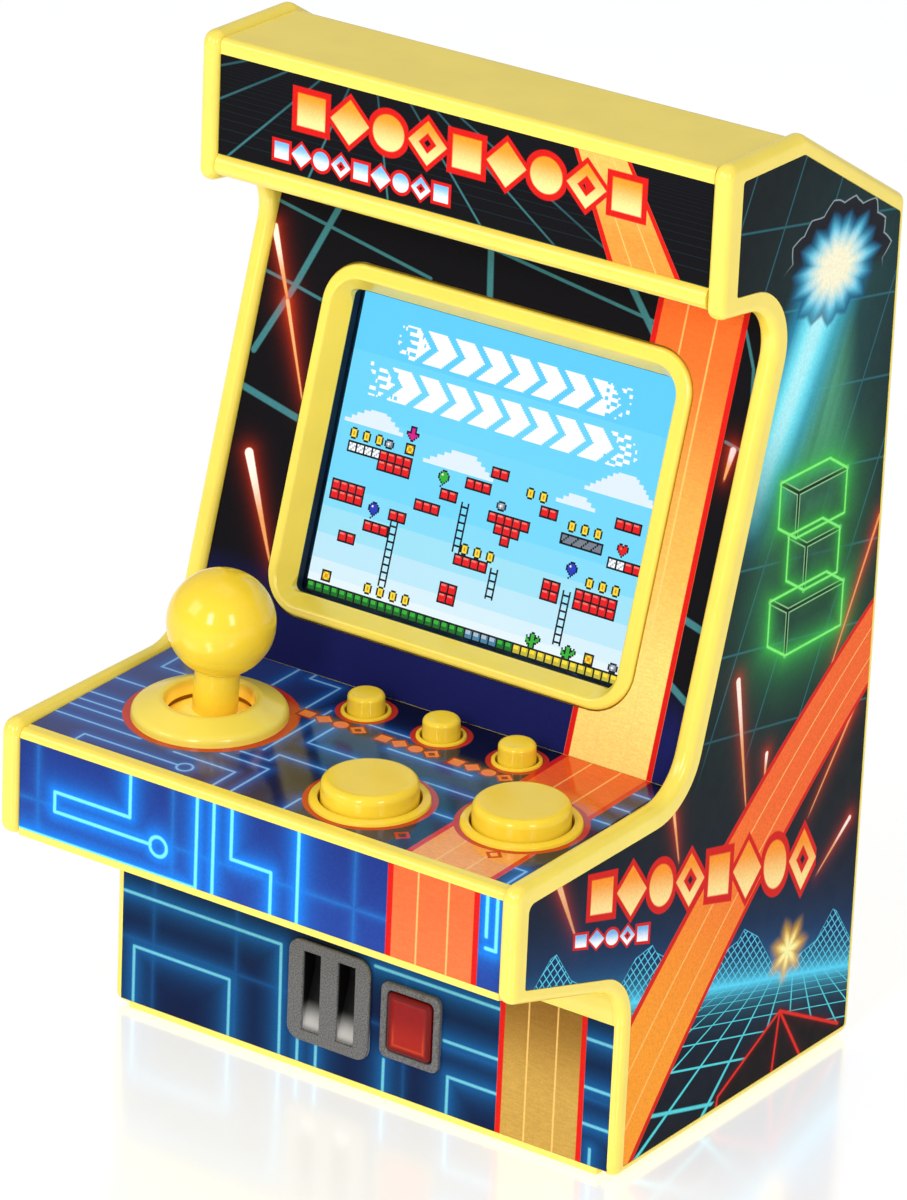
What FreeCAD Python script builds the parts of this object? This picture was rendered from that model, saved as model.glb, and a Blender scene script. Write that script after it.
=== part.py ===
import FreeCAD, Part
import math
import os
import Sketcher

# Miniature bartop arcade cabinet, millimetres.
# Frame: +X to the player's right, +Y towards the back, +Z up.
# The origin is the middle of the footprint, on the surface that the feet stand on.
# The shapes are drawn in the cabinet's working frame, whose y = 0 is the lower front wall and
# whose z = 0 is the underside of the base. Every node's Placement then carries it to the origin.

doc = FreeCAD.newDocument("ArcadeCabinet")
Vec = FreeCAD.Vector

# ---------------------------------------------------------------- driving dimensions
DIMENSIONS = [
    ("cabinet_height", 150.0), ("cabinet_width", 91.4), ("side_thickness", 3.0),
    ("bead_radius", 1.3), ("back_face", 63.5), ("deck_reach", 28.6), ("foot_standoff", 0.4),
    ("wall", 2.0), ("film", 0.3), ("side_gap", 0.05), ("running_gap", 0.3),
    ("screen_lean", 16.17), ("seam_depth", 13.48), ("seam_level", 56.61), ("screen_rise", 74.4),
    ("deck_tilt", 2.17), ("deck_edge_depth", -25.26), ("deck_edge_level", 55.14),
    ("deck_length", 38.7), ("underdeck_slope", 16.2), ("underdeck_corner", 7.2),
    ("underdeck_level", 30.30), ("roof_fall", 29.8), ("roof_drop", 0.8),
    ("sticker_thickness", 0.2), ("sticker_recess", 0.25), ("marquee_front", 16.3),
    ("marquee_insert_thickness", 0.9), ("apron_front", -27.6), ("apron_insert_thickness", 0.6),
    ("bezel_width", 64.8), ("bezel_height", 53.3), ("bezel_radius", 6.5), ("bezel_proud", 0.6),
    ("bezel_depth", 3.4), ("bezel_middle", 34.1), ("bezel_offset", 0.7),
    ("opening_width", 57.4), ("opening_height", 46.0), ("opening_radius", 1.2),
    ("opening_middle", 33.63), ("opening_offset", 0.35),
    ("bevel_run", 1.8), ("gasket_depth", 1.6), ("lens_thickness", 0.8), ("display_thickness", 3.0),
    ("board_thickness", 1.6), ("board_width", 80.0), ("board_length", 66.0), ("board_drop", 11.4),
    ("big_cap_radius", 7.15), ("big_cap_rise", 3.6), ("big_collar_radius", 8.8),
    ("big_collar_rise", 0.7),
    ("small_cap_radius", 2.85), ("small_cap_rise", 3.1), ("small_collar_radius", 3.75),
    ("small_collar_rise", 0.35),
    ("keyboard_drop", 8.6), ("keyboard_thickness", 1.4),
    ("ring_radius", 11.6), ("ring_crest", 2.9), ("ring_mouth", 6.7),
    ("deck_well_radius", 10.4), ("pivot_drop", 10.0), ("dome_radius", 11.8),
    ("dome_thickness", 1.0), ("dome_angle", 46.0), ("ball_radius", 8.0), ("ball_rise", 15.4),
    ("stem_radius", 3.35), ("housing_radius", 11.9), ("housing_bottom", 15.8),
    ("housing_wall", 1.2), ("gimbal_outer", 6.6), ("gimbal_inner", 4.4), ("gimbal_height", 3.0),
    ("gimbal_pin_radius", 1.0), ("cross_pin_radius", 0.9), ("pin_clearance", 0.05),
    ("bay_width", 58.4), ("bay_height", 47.0), ("bay_depth", 16.4), ("bay_middle", 43.0),
    ("door_width", 61.4), ("door_height", 49.4), ("door_thickness", 1.8), ("door_gap", 0.3),
    ("door_pin_radius", 0.5), ("cell_radius", 7.1), ("cell_length", 49.2), ("cell_pitch", 15.2),
    ("speaker_radius", 14.0), ("speaker_level", 100.0), ("switch_offset", 28.0),
    ("switch_level", 92.0),
    ("screw_shank", 0.95), ("screw_pilot", 1.0), ("screw_head", 2.2), ("foot_radius", 4.0),
]
sheet = doc.addObject("Spreadsheet::Sheet", "Sizes")
for row, (alias, number) in enumerate(DIMENSIONS, start=1):
    sheet.set(f"A{row}", alias)
    sheet.set(f"B{row}", str(number))
    sheet.setAlias(f"B{row}", alias)
doc.recompute()


def size(alias):
    return float(sheet.get(alias))


# ---------------------------------------------------------------- the three working frames
HALF_WIDTH = size("cabinet_width") / 2
INNER_FACE = HALF_WIDTH - size("side_thickness")
MIDDLE_DEPTH = (size("back_face") - size("deck_reach")) / 2
CABINET = FreeCAD.Placement(Vec(0, -MIDDLE_DEPTH, size("foot_standoff")), FreeCAD.Rotation())
# Deck frame: x across, y up the slope from the deck film's front edge, z out of the deck.
DECK_LOCAL = FreeCAD.Placement(Vec(0, size("deck_edge_depth"), size("deck_edge_level")),
                               FreeCAD.Rotation(Vec(1, 0, 0), size("deck_tilt")))
DECK = CABINET.multiply(DECK_LOCAL)
# Screen frame: x across, y up the screen panel from its seam with the deck, z towards the player.
SCREEN = CABINET.multiply(FreeCAD.Placement(
    Vec(0, size("seam_depth"), size("seam_level")),
    FreeCAD.Rotation(Vec(1, 0, 0), 90 - size("screen_lean"))))

nodes = []


def node(item, label, placement):
    """Name a finished sub-part and carry it to its place."""
    item.Label = label
    item.Placement = placement
    nodes.append(item)
    return item


# ---------------------------------------------------------------- outlines
def rounded_outline(corners):
    """Lines and arcs round a polygon of (u, v, radius) corners."""
    rounds = []
    count = len(corners)
    for i, (u, v, radius) in enumerate(corners):
        here = Vec(u, v, 0)
        before = Vec(*corners[i - 1][:2], 0)
        after = Vec(*corners[(i + 1) % count][:2], 0)
        back = (before - here).normalize()
        on = (after - here).normalize()
        if radius <= 0:
            rounds.append((here, here, None))
            continue
        half_turn = (math.pi - back.getAngle(on)) / 2
        reach = radius * math.tan(half_turn)
        start = here + back * reach
        end = here + on * reach
        bisector = (back + on).normalize()
        centre = here + bisector * (radius / math.cos(half_turn))
        rounds.append((start, end, (centre, radius)))
    pieces = []
    for i, (start, end, rounding) in enumerate(rounds):
        if rounding:
            centre, radius = rounding
            towards_corner = (start + end) * 0.5 - centre
            middle = centre + towards_corner.normalize() * radius
            pieces.append(Part.Arc(start, middle, end))
        following = rounds[(i + 1) % count][0]
        if (following - end).Length > 1e-6:
            pieces.append(Part.LineSegment(end, following))
    return pieces


def line_meet(p, p_dir, q, q_dir):
    """Where two lines in the plane cross."""
    across = p_dir.x * q_dir.y - p_dir.y * q_dir.x
    step = ((q.x - p.x) * q_dir.y - (q.y - p.y) * q_dir.x) / across
    return p + p_dir * step


def inset_outline(corners, insets, radii):
    """Move each edge of a clockwise outline inwards by its own inset."""
    count = len(corners)
    lines = []
    for i in range(count):
        a = Vec(*corners[i][:2], 0)
        b = Vec(*corners[(i + 1) % count][:2], 0)
        along = (b - a).normalize()
        inwards = Vec(along.y, -along.x, 0)
        lines.append((a + inwards * insets[i], along))
    result = []
    for i in range(count):
        before = lines[i - 1]
        after = lines[i]
        point = line_meet(before[0], before[1], after[0], after[1])
        result.append((point.x, point.y, radii[i]))
    return result


def rectangle(cx, cy, width, height, radius=0.0):
    u, v = width / 2, height / 2
    return [(cx - u, cy - v, radius), (cx + u, cy - v, radius),
            (cx + u, cy + v, radius), (cx - u, cy + v, radius)]


# ---------------------------------------------------------------- features
def body(name):
    return doc.addObject("PartDesign::Body", name)


def sketch(owner, plane, outlines, offset=0.0, circles=()):
    """A sketch on one of the body's own origin planes, holding closed outlines and circles."""
    item = owner.newObject("Sketcher::SketchObject", owner.Name + "Sketch")
    base = next(f for f in owner.Origin.OriginFeatures if f.Role == plane)
    item.AttachmentSupport = [(base, "")]
    item.MapMode = "FlatFace"
    item.AttachmentOffset = FreeCAD.Placement(Vec(0, 0, offset), FreeCAD.Rotation())
    for outline in outlines:
        item.addGeometry(rounded_outline(outline), False)
    for u, v, radius_expression in circles:
        index = item.addGeometry(Part.Circle(Vec(u, v, 0), Vec(0, 0, 1), 1.0), False)
        item.addConstraint(Sketcher.Constraint("DistanceX", index, 3, u))
        item.addConstraint(Sketcher.Constraint("DistanceY", index, 3, v))
        number = item.addConstraint(Sketcher.Constraint("Radius", index, 1.0))
        item.setExpression(f"Constraints[{number}]", radius_expression)
    doc.recompute()
    return item


def pad(owner, profile, length, midplane=False, reverse=False):
    item = owner.newObject("PartDesign::Pad", owner.Name + "Pad")
    item.Profile = profile
    item.Midplane = midplane
    item.Reversed = reverse
    item.setExpression("Length", length)
    doc.recompute()
    return item


def pocket(owner, profile, length, reverse=False, taper=0.0):
    """Cut a sketch into the body: along the sketch's normal, or against it when reversed."""
    volume = owner.Shape.Volume
    item = owner.newObject("PartDesign::Pocket", owner.Name + "Pocket")
    item.Profile = profile
    item.Reversed = reverse
    item.setExpression("Length", length)
    if taper:
        item.TaperAngle = taper
    doc.recompute()
    if owner.Shape.Volume > volume - 1e-4:
        raise RuntimeError(f"{owner.Name}: {item.Name} cut nothing")
    return item


def fillet(owner, radius, chosen):
    """Round the edges of a body that chosen(edge) picks."""
    base = owner.Tip
    names = [f"Edge{i}" for i, edge in enumerate(base.Shape.Edges, 1) if chosen(edge)]
    item = owner.newObject("PartDesign::Fillet", owner.Name + "Fillet")
    item.Base = (base, names)
    item.setExpression("Radius", radius)
    doc.recompute()
    return item


def level(edge, axis, value):
    """True when the whole edge lies at one height along an axis."""
    box = edge.BoundBox
    low, high = {"x": (box.XMin, box.XMax), "y": (box.YMin, box.YMax), "z": (box.ZMin, box.ZMax)}[axis]
    return abs(low - value) < 1e-4 and abs(high - value) < 1e-4


def plate(name, plane, outlines, thickness, offset=0.0, circles=(), midplane=False, reverse=False):
    owner = body(name)
    pad(owner, sketch(owner, plane, outlines, offset, circles), thickness, midplane, reverse)
    return owner


def solid_box(name, low, high):
    """A Part box between two corners."""
    item = doc.addObject("Part::Box", name)
    item.Length, item.Width, item.Height = (high[i] - low[i] for i in range(3))
    item.Placement.Base = Vec(*low)
    return item


AXIS_TURN = {"z": FreeCAD.Rotation(), "y": FreeCAD.Rotation(Vec(1, 0, 0), -90),
             "x": FreeCAD.Rotation(Vec(0, 1, 0), 90)}


def cylinder(name, radius, height, at, axis="z"):
    """A Part cylinder whose radius and height are sheet expressions."""
    item = doc.addObject("Part::Cylinder", name)
    item.setExpression("Radius", radius)
    item.setExpression("Height", height)
    item.Placement = FreeCAD.Placement(Vec(*at), AXIS_TURN[axis])
    return item


def fuse(name, items):
    item = doc.addObject("Part::MultiFuse", name)
    item.Shapes = items
    doc.recompute()
    return item


def cut(name, base, tools):
    item = doc.addObject("Part::Cut", name)
    item.Base = base
    item.Tool = tools[0] if len(tools) == 1 else fuse(name + "Tools", tools)
    doc.recompute()
    return item


def group(name, items):
    item = doc.addObject("Part::Compound", name)
    item.Links = items
    doc.recompute()
    return item


def turned(name, profile):
    """A body of revolution about its own z axis, from (radius, z) points in order."""
    owner = body(name)
    drawing = sketch(owner, "XZ_Plane", [profile])
    item = owner.newObject("PartDesign::Revolution", name + "Turn")
    item.Profile = drawing
    item.ReferenceAxis = (drawing, ["V_Axis"])
    item.Angle = 360
    doc.recompute()
    return owner


# ---------------------------------------------------------------- cabinet profile, (y, z, radius)
LEAN = math.tan(math.radians(size("screen_lean")))
SLOPE = math.tan(math.radians(size("underdeck_slope")))
FALL = math.tan(math.radians(size("roof_fall")))
REACH = size("deck_reach")
BACK = size("back_face")
TOP = size("cabinet_height")
DECK_BEAD_LEVEL = 56.2
DECK_BEAD_RISE = 0.014
SCREEN_BEAD_DEPTH = 14.8
SCREEN_BEAD_LEVEL = 66.0
COVE_LEVEL = 125.5
OVERHANG_LEVEL = 127.4
COVE_RADIUS = 7.1
ELBOW_RADIUS = 8.0
MARQUEE_BEAD_DEPTH = 15.4
APEX_DEPTH = 35.0
SHOULDER = 1.8
UNDERDECK = size("underdeck_level")


def screen_bead_depth(z):
    return SCREEN_BEAD_DEPTH + LEAN * (z - SCREEN_BEAD_LEVEL)


elbow_level = DECK_BEAD_LEVEL + DECK_BEAD_RISE * (REACH + 12)
SIDE_OUTLINE = [
    (0.0, 0.0, SHOULDER),
    (BACK, 0.0, SHOULDER),
    (BACK, TOP - FALL * (BACK - APEX_DEPTH), SHOULDER),
    (APEX_DEPTH, TOP, SHOULDER),
    (MARQUEE_BEAD_DEPTH, TOP, 2.0),
    (MARQUEE_BEAD_DEPTH, OVERHANG_LEVEL, SHOULDER),
    (screen_bead_depth(COVE_LEVEL), COVE_LEVEL, COVE_RADIUS),
    (screen_bead_depth(elbow_level), elbow_level, ELBOW_RADIUS),
    (-REACH, DECK_BEAD_LEVEL, 2.2),
    (-REACH, UNDERDECK + SLOPE * REACH, 2.0),
    (0.0, UNDERDECK, size("underdeck_corner")),
]
# Rim left outside the printed sticker along each of those edges, and the sticker's own corners.
STICKER_RIM = [1.4, 1.4, 2.5, 2.8, 3.7, 3.1, 3.1, 3.1, 3.0, 2.2, 2.1]
STICKER_CORNERS = [0.4, 0.4, 0.8, 1.5, 0.6, 0.5, 10.2, 11.1, 1.4, 0.5, 9.3]


def reversed_inset(corners, rims, radii):
    """Inset an anticlockwise outline: walk it clockwise, then turn it back."""
    count = len(corners)
    flipped = corners[::-1]
    flipped_rims = [rims[count - 2 - i] for i in range(count)]
    return inset_outline(flipped, flipped_rims, radii[::-1])[::-1]


STICKER_OUTLINE = reversed_inset(SIDE_OUTLINE, STICKER_RIM, STICKER_CORNERS)

CASE_SCREW_LEVELS = (7.0, 66.0, 124.0)
CASE_SCREW_X = 38.5
BOSS_REACH = 8.0
BOSS_LENGTH = 9.0
BACK_INSIDE = BACK - size("wall")
LOWER_PANEL_LOW, LOWER_PANEL_HIGH = 1.0, 24.4
LOWER_PANEL_HALF = 44.3
COVE_LAP = 1.3
COVE_SKIN = 1.4
COVE_END = size("apron_front") + 2.4


def underdeck(y):
    return UNDERDECK - SLOPE * y


def cove_band(skin, start):
    """The outer skin of the cove, from the top of the lower panel out under the deck, as (y, z, radius)."""
    rise = skin * math.hypot(1, SLOPE)
    corner = size("underdeck_corner")
    return [(0, start, 0), (0, UNDERDECK, corner), (COVE_END, underdeck(COVE_END), 0),
            (COVE_END, underdeck(COVE_END) + rise, 0), (skin, underdeck(skin) + rise, corner + skin),
            (skin, start, 0)]



def side_panel(name, side):
    """A bead-edged side with its sticker recess and the bosses for the back cover's screws."""
    owner = body(name)
    inner = INNER_FACE if side > 0 else -HALF_WIDTH
    outer = side * HALF_WIDTH
    pad(owner, sketch(owner, "YZ_Plane", [SIDE_OUTLINE], inner), "Sizes.side_thickness")
    fillet(owner, "Sizes.bead_radius", lambda e: any(level(e, "x", x) for x in (INNER_FACE, HALF_WIDTH,
                                                                                -INNER_FACE, -HALF_WIDTH)))
    recess = sketch(owner, "YZ_Plane", [STICKER_OUTLINE], outer)
    pocket(owner, recess, "Sizes.sticker_recess", reverse=side < 0)
    middle = side * (INNER_FACE + LOWER_PANEL_HALF) / 2
    step = sketch(owner, "XZ_Plane", [rectangle(
        middle, (LOWER_PANEL_LOW + LOWER_PANEL_HIGH) / 2, LOWER_PANEL_HALF - INNER_FACE,
        LOWER_PANEL_HIGH - LOWER_PANEL_LOW)], 0.0)
    pocket(owner, step, "Sizes.film")
    lap = sketch(owner, "YZ_Plane", [cove_band(COVE_SKIN + 0.05, LOWER_PANEL_HIGH - 0.05)], side * INNER_FACE)
    pocket(owner, lap, f"{COVE_LAP + 0.05}", reverse=side > 0)
    boss_x = side * (INNER_FACE - BOSS_REACH / 2)
    blocks = [rectangle(boss_x, z, BOSS_REACH, 7.0) for z in CASE_SCREW_LEVELS]
    boss = sketch(owner, "XZ_Plane", blocks, -BACK_INSIDE)
    boss_pad = owner.newObject("PartDesign::Pad", name + "Bosses")
    boss_pad.Profile = boss
    boss_pad.Length = BOSS_LENGTH
    doc.recompute()
    holes = [(side * CASE_SCREW_X, z, "Sizes.screw_pilot") for z in CASE_SCREW_LEVELS]
    pilots = sketch(owner, "XZ_Plane", [], -BACK_INSIDE, holes)
    pocket(owner, pilots, "8", reverse=True)
    return node(owner, name, CABINET)


side_panel("left_side_panel", -1)
side_panel("right_side_panel", 1)


def side_sticker(name, side):
    """The printed sheet that lies in the side panel's recess."""
    face = HALF_WIDTH - size("sticker_recess")
    offset = face if side > 0 else -face
    item = plate(name, "YZ_Plane", [inset_sticker()], "Sizes.sticker_thickness", offset,
                 reverse=side < 0)
    return node(item, name, CABINET)


def inset_sticker():
    """The sticker stops a hair short of its recess."""
    rims = [rim + 0.08 for rim in STICKER_RIM]
    return reversed_inset(SIDE_OUTLINE, rims, STICKER_CORNERS)


side_sticker("left_side_sticker", -1)
side_sticker("right_side_sticker", 1)

# ---------------------------------------------------------------- centre shells
CENTRE_WIDTH = "Sizes.cabinet_width - 2 * Sizes.side_thickness - 2 * Sizes.side_gap"
CENTRE_HALF = INNER_FACE - size("side_gap")
WALL = size("wall")
FILM = size("film")


def centre_shell(name, profile):
    """A profile in (y, z) that runs the whole way between the side panels."""
    owner = body(name)
    pad(owner, sketch(owner, "YZ_Plane", [profile]), CENTRE_WIDTH, midplane=True)
    return owner


FRONT = size("marquee_front")
ROOF_TOP = TOP - size("roof_drop")
LIP_LOW, LIP_HIGH = 128.3, 131.6
LIP_NOSE = 15.55
ROOF_INNER = WALL / math.cos(math.radians(size("roof_fall")))
MARQUEE_WALL = 2.4
roof_profile = [
    (35.4, LIP_LOW, 0), (LIP_NOSE, LIP_LOW, 1.55), (LIP_NOSE, LIP_HIGH - 0.05, 1.5),
    (FRONT, LIP_HIGH, 0), (FRONT, ROOF_TOP, 1.0), (APEX_DEPTH - 0.2, ROOF_TOP, 3.0),
    (BACK, ROOF_TOP - FALL * (BACK - APEX_DEPTH + 0.2), 0),
    (BACK, ROOF_TOP - FALL * (BACK - APEX_DEPTH + 0.2) - ROOF_INNER, 0),
    (APEX_DEPTH - 0.8, ROOF_TOP - WALL, 2.0), (FRONT + MARQUEE_WALL, ROOF_TOP - WALL, 0),
    (FRONT + MARQUEE_WALL, LIP_LOW + WALL, 0), (35.4, LIP_LOW + WALL, 0),
]
MARQUEE_LOW, MARQUEE_HIGH = 131.65, 146.9
roof = centre_shell("roof_shell", roof_profile)
window = rectangle(0, (MARQUEE_LOW + MARQUEE_HIGH) / 2, 2 * INNER_FACE + 1, MARQUEE_HIGH - MARQUEE_LOW)
pocket(roof, sketch(roof, "XZ_Plane", [window], -FRONT), "Sizes.marquee_insert_thickness + 0.05")
node(roof, "roof_shell", CABINET)

insert_outline = rectangle(0, (MARQUEE_LOW + MARQUEE_HIGH) / 2, 2 * CENTRE_HALF - 0.1,
                           MARQUEE_HIGH - MARQUEE_LOW - 0.1)
marquee = plate("marquee_panel", "XZ_Plane", [insert_outline], "Sizes.marquee_insert_thickness",
                -(FRONT + 0.95))
node(marquee, "marquee_panel", CABINET)

# Control deck: a top wall under the film, a rounded nose and the apron wall with its step.
APRON = size("apron_front")
APRON_STEP = size("apron_insert_thickness")
APRON_HIGH, APRON_LOW = 53.7, 39.4
APRON_INSIDE = APRON + 2.4
to_deck = DECK_LOCAL.inverse()


def in_deck(y, z):
    """Cabinet (y, z) as deck-frame (y, z)."""
    point = to_deck.multVec(Vec(0, y, z))
    return point.y, point.z


DECK_BACK = 38.0
DECK_INSIDE = 52.6
deck_profile = [
    (DECK_BACK, -FILM, 0), (0.0, -FILM, 0), (0.0, 0.0, 0),
    (*in_deck(APRON, size("deck_edge_level") - 0.1), 1.2),
    (*in_deck(APRON, APRON_HIGH), 0), (*in_deck(APRON + APRON_STEP, APRON_HIGH), 0),
    (*in_deck(APRON + APRON_STEP, APRON_LOW), 0), (*in_deck(APRON, APRON_LOW), 0),
    (*in_deck(APRON, underdeck(APRON)), 0), (*in_deck(APRON_INSIDE, underdeck(APRON_INSIDE)), 0),
    (in_deck(APRON_INSIDE, DECK_INSIDE)[0], -FILM - WALL, 0), (DECK_BACK, -FILM - WALL, 0),
]
BUTTON_A = (11.1, 9.7)
BUTTON_B = (32.5, 16.6)
SMALL_BUTTONS = (("reset", -6.6, 33.1), ("start", 7.0, 32.9), ("volume", 20.4, 32.8))
STICK = (-24.0, 18.4)
BIG_HOLE = "Sizes.big_cap_radius + Sizes.running_gap + 0.65"
SMALL_HOLE = "Sizes.small_cap_radius + Sizes.running_gap + 0.45"
deck_holes = [(*BUTTON_A, BIG_HOLE), (*BUTTON_B, BIG_HOLE), (*STICK, "Sizes.deck_well_radius")]
deck_holes += [(x, y, SMALL_HOLE) for _, x, y in SMALL_BUTTONS]
deck = centre_shell("control_deck", deck_profile)
pocket(deck, sketch(deck, "XY_Plane", [], 1.0, deck_holes), "8")
node(deck, "control_deck", DECK)

film_outline = rectangle(0, size("deck_length") / 2 + 0.05, 2 * CENTRE_HALF - 0.1,
                         size("deck_length") - 0.1)
overlay = plate("deck_overlay", "XY_Plane", [film_outline], "Sizes.film", -FILM, deck_holes)
node(overlay, "deck_overlay", DECK)

apron_outline = rectangle(0, (APRON_LOW + APRON_HIGH) / 2, 2 * CENTRE_HALF - 0.1,
                          APRON_HIGH - APRON_LOW - 0.1)
apron = plate("apron_panel", "XZ_Plane", [apron_outline], "Sizes.apron_insert_thickness - 0.05",
              -(APRON + APRON_STEP - 0.05))
node(apron, "apron_panel", CABINET)

# Lower front: the wall behind the lower panel, the cove and the slope under the deck.
slope_cos = math.cos(math.radians(size("underdeck_slope")))
inner_step = WALL / slope_cos
front_profile = [
    (0, 0, 0), (0, LOWER_PANEL_LOW, 0), (FILM, LOWER_PANEL_LOW, 0), (FILM, LOWER_PANEL_HIGH, 0),
    (0, LOWER_PANEL_HIGH, 0), (0, UNDERDECK, size("underdeck_corner")),
    (APRON_INSIDE, underdeck(APRON_INSIDE), 0), (APRON_INSIDE, underdeck(APRON_INSIDE) + inner_step, 0),
    (WALL, underdeck(WALL) + inner_step, size("underdeck_corner") + WALL), (WALL, 0, 0),
]
COIN_BLOCK = rectangle(-5.6, 13.1, 10.8, 15.0)
COIN_WINDOW = rectangle(-5.6, 13.1, 10.9, 15.1)
lower_front = centre_shell("lower_front_shell", front_profile)
pocket(lower_front, sketch(lower_front, "XZ_Plane", [COIN_WINDOW], -FILM), "Sizes.wall")
wings = sketch(lower_front, "YZ_Plane", [cove_band(COVE_SKIN, LOWER_PANEL_HIGH)])
pad(lower_front, wings, f"{2 * (INNER_FACE + COVE_LAP)}", midplane=True)
node(lower_front, "lower_front_shell", CABINET)

lower_outline = rectangle(0, (LOWER_PANEL_LOW + LOWER_PANEL_HIGH) / 2, 2 * LOWER_PANEL_HALF - 0.1,
                          LOWER_PANEL_HIGH - LOWER_PANEL_LOW - 0.1)
lower_panel = plate("lower_front_panel", "XZ_Plane", [lower_outline, COIN_WINDOW], "Sizes.film", -FILM)
node(lower_panel, "lower_front_panel", CABINET)

# Screen panel with its four board bosses, and the printed film over it.
SCREEN_RISE = size("screen_rise")
BEZEL_X = size("bezel_offset")
BEZEL_Y = size("bezel_middle")
BEZEL_W = size("bezel_width")
BEZEL_H = size("bezel_height")
BEZEL_R = size("bezel_radius")
OPEN_X = size("opening_offset")
OPEN_Y = size("opening_middle")
OPEN_W = size("opening_width")
OPEN_H = size("opening_height")
SLOT = 0.5
bezel_window = rectangle(BEZEL_X, BEZEL_Y, BEZEL_W + SLOT, BEZEL_H + SLOT, BEZEL_R + SLOT / 2)
BOARD_HOLES = [(sx * 37.2, y) for sx in (-1, 1) for y in (6.5, 62.0)]
PANEL_LOW = -2.5
panel_outline = rectangle(0, (PANEL_LOW + SCREEN_RISE) / 2, 2 * CENTRE_HALF, SCREEN_RISE - PANEL_LOW)
panel = plate("screen_panel", "XY_Plane", [panel_outline, bezel_window], "Sizes.wall - Sizes.film", -WALL)
posts = sketch(panel, "XY_Plane", [], -WALL, [(x, y, "2.6") for x, y in BOARD_HOLES])
pad(panel, posts, "Sizes.board_drop - Sizes.wall", reverse=True)
pilot_circles = [(x, y, "Sizes.screw_pilot") for x, y in BOARD_HOLES]
pilots = sketch(panel, "XY_Plane", [], -size("board_drop"), pilot_circles)
pocket(panel, pilots, "7", reverse=True)
node(panel, "screen_panel", SCREEN)

art_outline = rectangle(0, SCREEN_RISE / 2, 2 * CENTRE_HALF - 0.1, SCREEN_RISE - 0.1)
screen_film = plate("screen_overlay", "XY_Plane", [art_outline, bezel_window], "Sizes.film", -FILM)
node(screen_film, "screen_overlay", SCREEN)

# Bezel: a raised rounded frame, a flange behind the panel and a bevel down to the opening.
PROUD = size("bezel_proud")
BEVEL = size("bezel_depth")
LIP = PROUD - BEVEL
bezel = plate("screen_bezel", "XY_Plane", [rectangle(BEZEL_X, BEZEL_Y, BEZEL_W, BEZEL_H, BEZEL_R)],
              "Sizes.bezel_depth", LIP)
flange = sketch(bezel, "XY_Plane", [rectangle(BEZEL_X, BEZEL_Y, BEZEL_W + 3, BEZEL_H + 3, BEZEL_R + 1.5)],
                -WALL - 0.1)
pad(bezel, flange, "0.9", reverse=True)
run = size("bevel_run")
MOUTH_ROUND = 2.8
mouth = rectangle(OPEN_X, OPEN_Y, OPEN_W + 2 * run, OPEN_H + 2 * run, run + MOUTH_ROUND)
taper = -math.degrees(math.atan(run / BEVEL))
pocket(bezel, sketch(bezel, "XY_Plane", [mouth], PROUD), "Sizes.bezel_depth", taper=taper)
opening = rectangle(OPEN_X, OPEN_Y, OPEN_W, OPEN_H, size("opening_radius"))
pocket(bezel, sketch(bezel, "XY_Plane", [opening], PROUD), "Sizes.bezel_depth + 1")
fillet(bezel, "0.55", lambda e: level(e, "z", PROUD))
node(bezel, "screen_bezel", SCREEN)

GASKET_TOP = -3.05
gasket_outline = rectangle(OPEN_X, OPEN_Y, OPEN_W + 5.4, OPEN_H + 5.4, 1.0)
gasket_hole = rectangle(OPEN_X, OPEN_Y, OPEN_W + 0.2, OPEN_H + 0.2, 1.0)
gasket = plate("display_gasket", "XY_Plane", [gasket_outline, gasket_hole], "Sizes.gasket_depth",
               GASKET_TOP - size("gasket_depth"))
node(gasket, "display_gasket", SCREEN)

LENS_LOW = GASKET_TOP - size("gasket_depth") - size("lens_thickness")
lens_outline = rectangle(OPEN_X, OPEN_Y, OPEN_W + 5, OPEN_H + 5, 1.0)
lens = plate("display_window", "XY_Plane", [lens_outline], "Sizes.lens_thickness", LENS_LOW)
node(lens, "display_window", SCREEN)

DISPLAY_TOP = LENS_LOW - 0.02
display_outline = rectangle(OPEN_X, OPEN_Y, OPEN_W + 6, OPEN_H + 6, 0.8)
display = plate("lcd_module", "XY_Plane", [display_outline], "Sizes.display_thickness",
                DISPLAY_TOP - size("display_thickness"))
node(display, "lcd_module", SCREEN)

# ---------------------------------------------------------------- coin door, fixed trim on the lower front
COIN_PROUD = 0.6
coin = plate("coin_slot_plate", "XZ_Plane", [rectangle(-5.6, 13.1, 14.8, 16.4, 2.2)], "0.6", 0.0)
block = sketch(coin, "XZ_Plane", [COIN_BLOCK], 0.0)
pad(coin, block, "3.0", reverse=True)
SLOT_WIDTH = 3.1
for slot_x in (-8.75, -2.45):
    chute = [(-COIN_PROUD - 0.1, 6.7, 0), (-COIN_PROUD - 0.1, 19.7, 0), (2.5, 19.7, 0), (2.5, 15.5, 0),
             (-0.35, 6.7, 0)]
    wedge = sketch(coin, "YZ_Plane", [chute], slot_x - SLOT_WIDTH / 2)
    pocket(coin, wedge, "3.1", reverse=True)
fillet(coin, "0.25", lambda e: level(e, "y", -COIN_PROUD) and e.Length > 9)
node(coin, "coin_slot_plate", CABINET)

FRAME_AT = (9.2, 13.2)
return_frame = plate("coin_return_frame", "XZ_Plane", [rectangle(*FRAME_AT, 10.6, 12.2, 1.3),
                                                       rectangle(*FRAME_AT, 8.3, 9.9, 0.9)], "0.7", 0.0)
fillet(return_frame, "0.25", lambda e: level(e, "y", -0.7))
node(return_frame, "coin_return_frame", CABINET)
return_button = plate("coin_return_button", "XZ_Plane", [rectangle(*FRAME_AT, 7.9, 9.5, 0.9)], "0.9", 0.0)
fillet(return_button, "0.45", lambda e: level(e, "y", -0.9))
node(return_button, "coin_return_button", CABINET)

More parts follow.
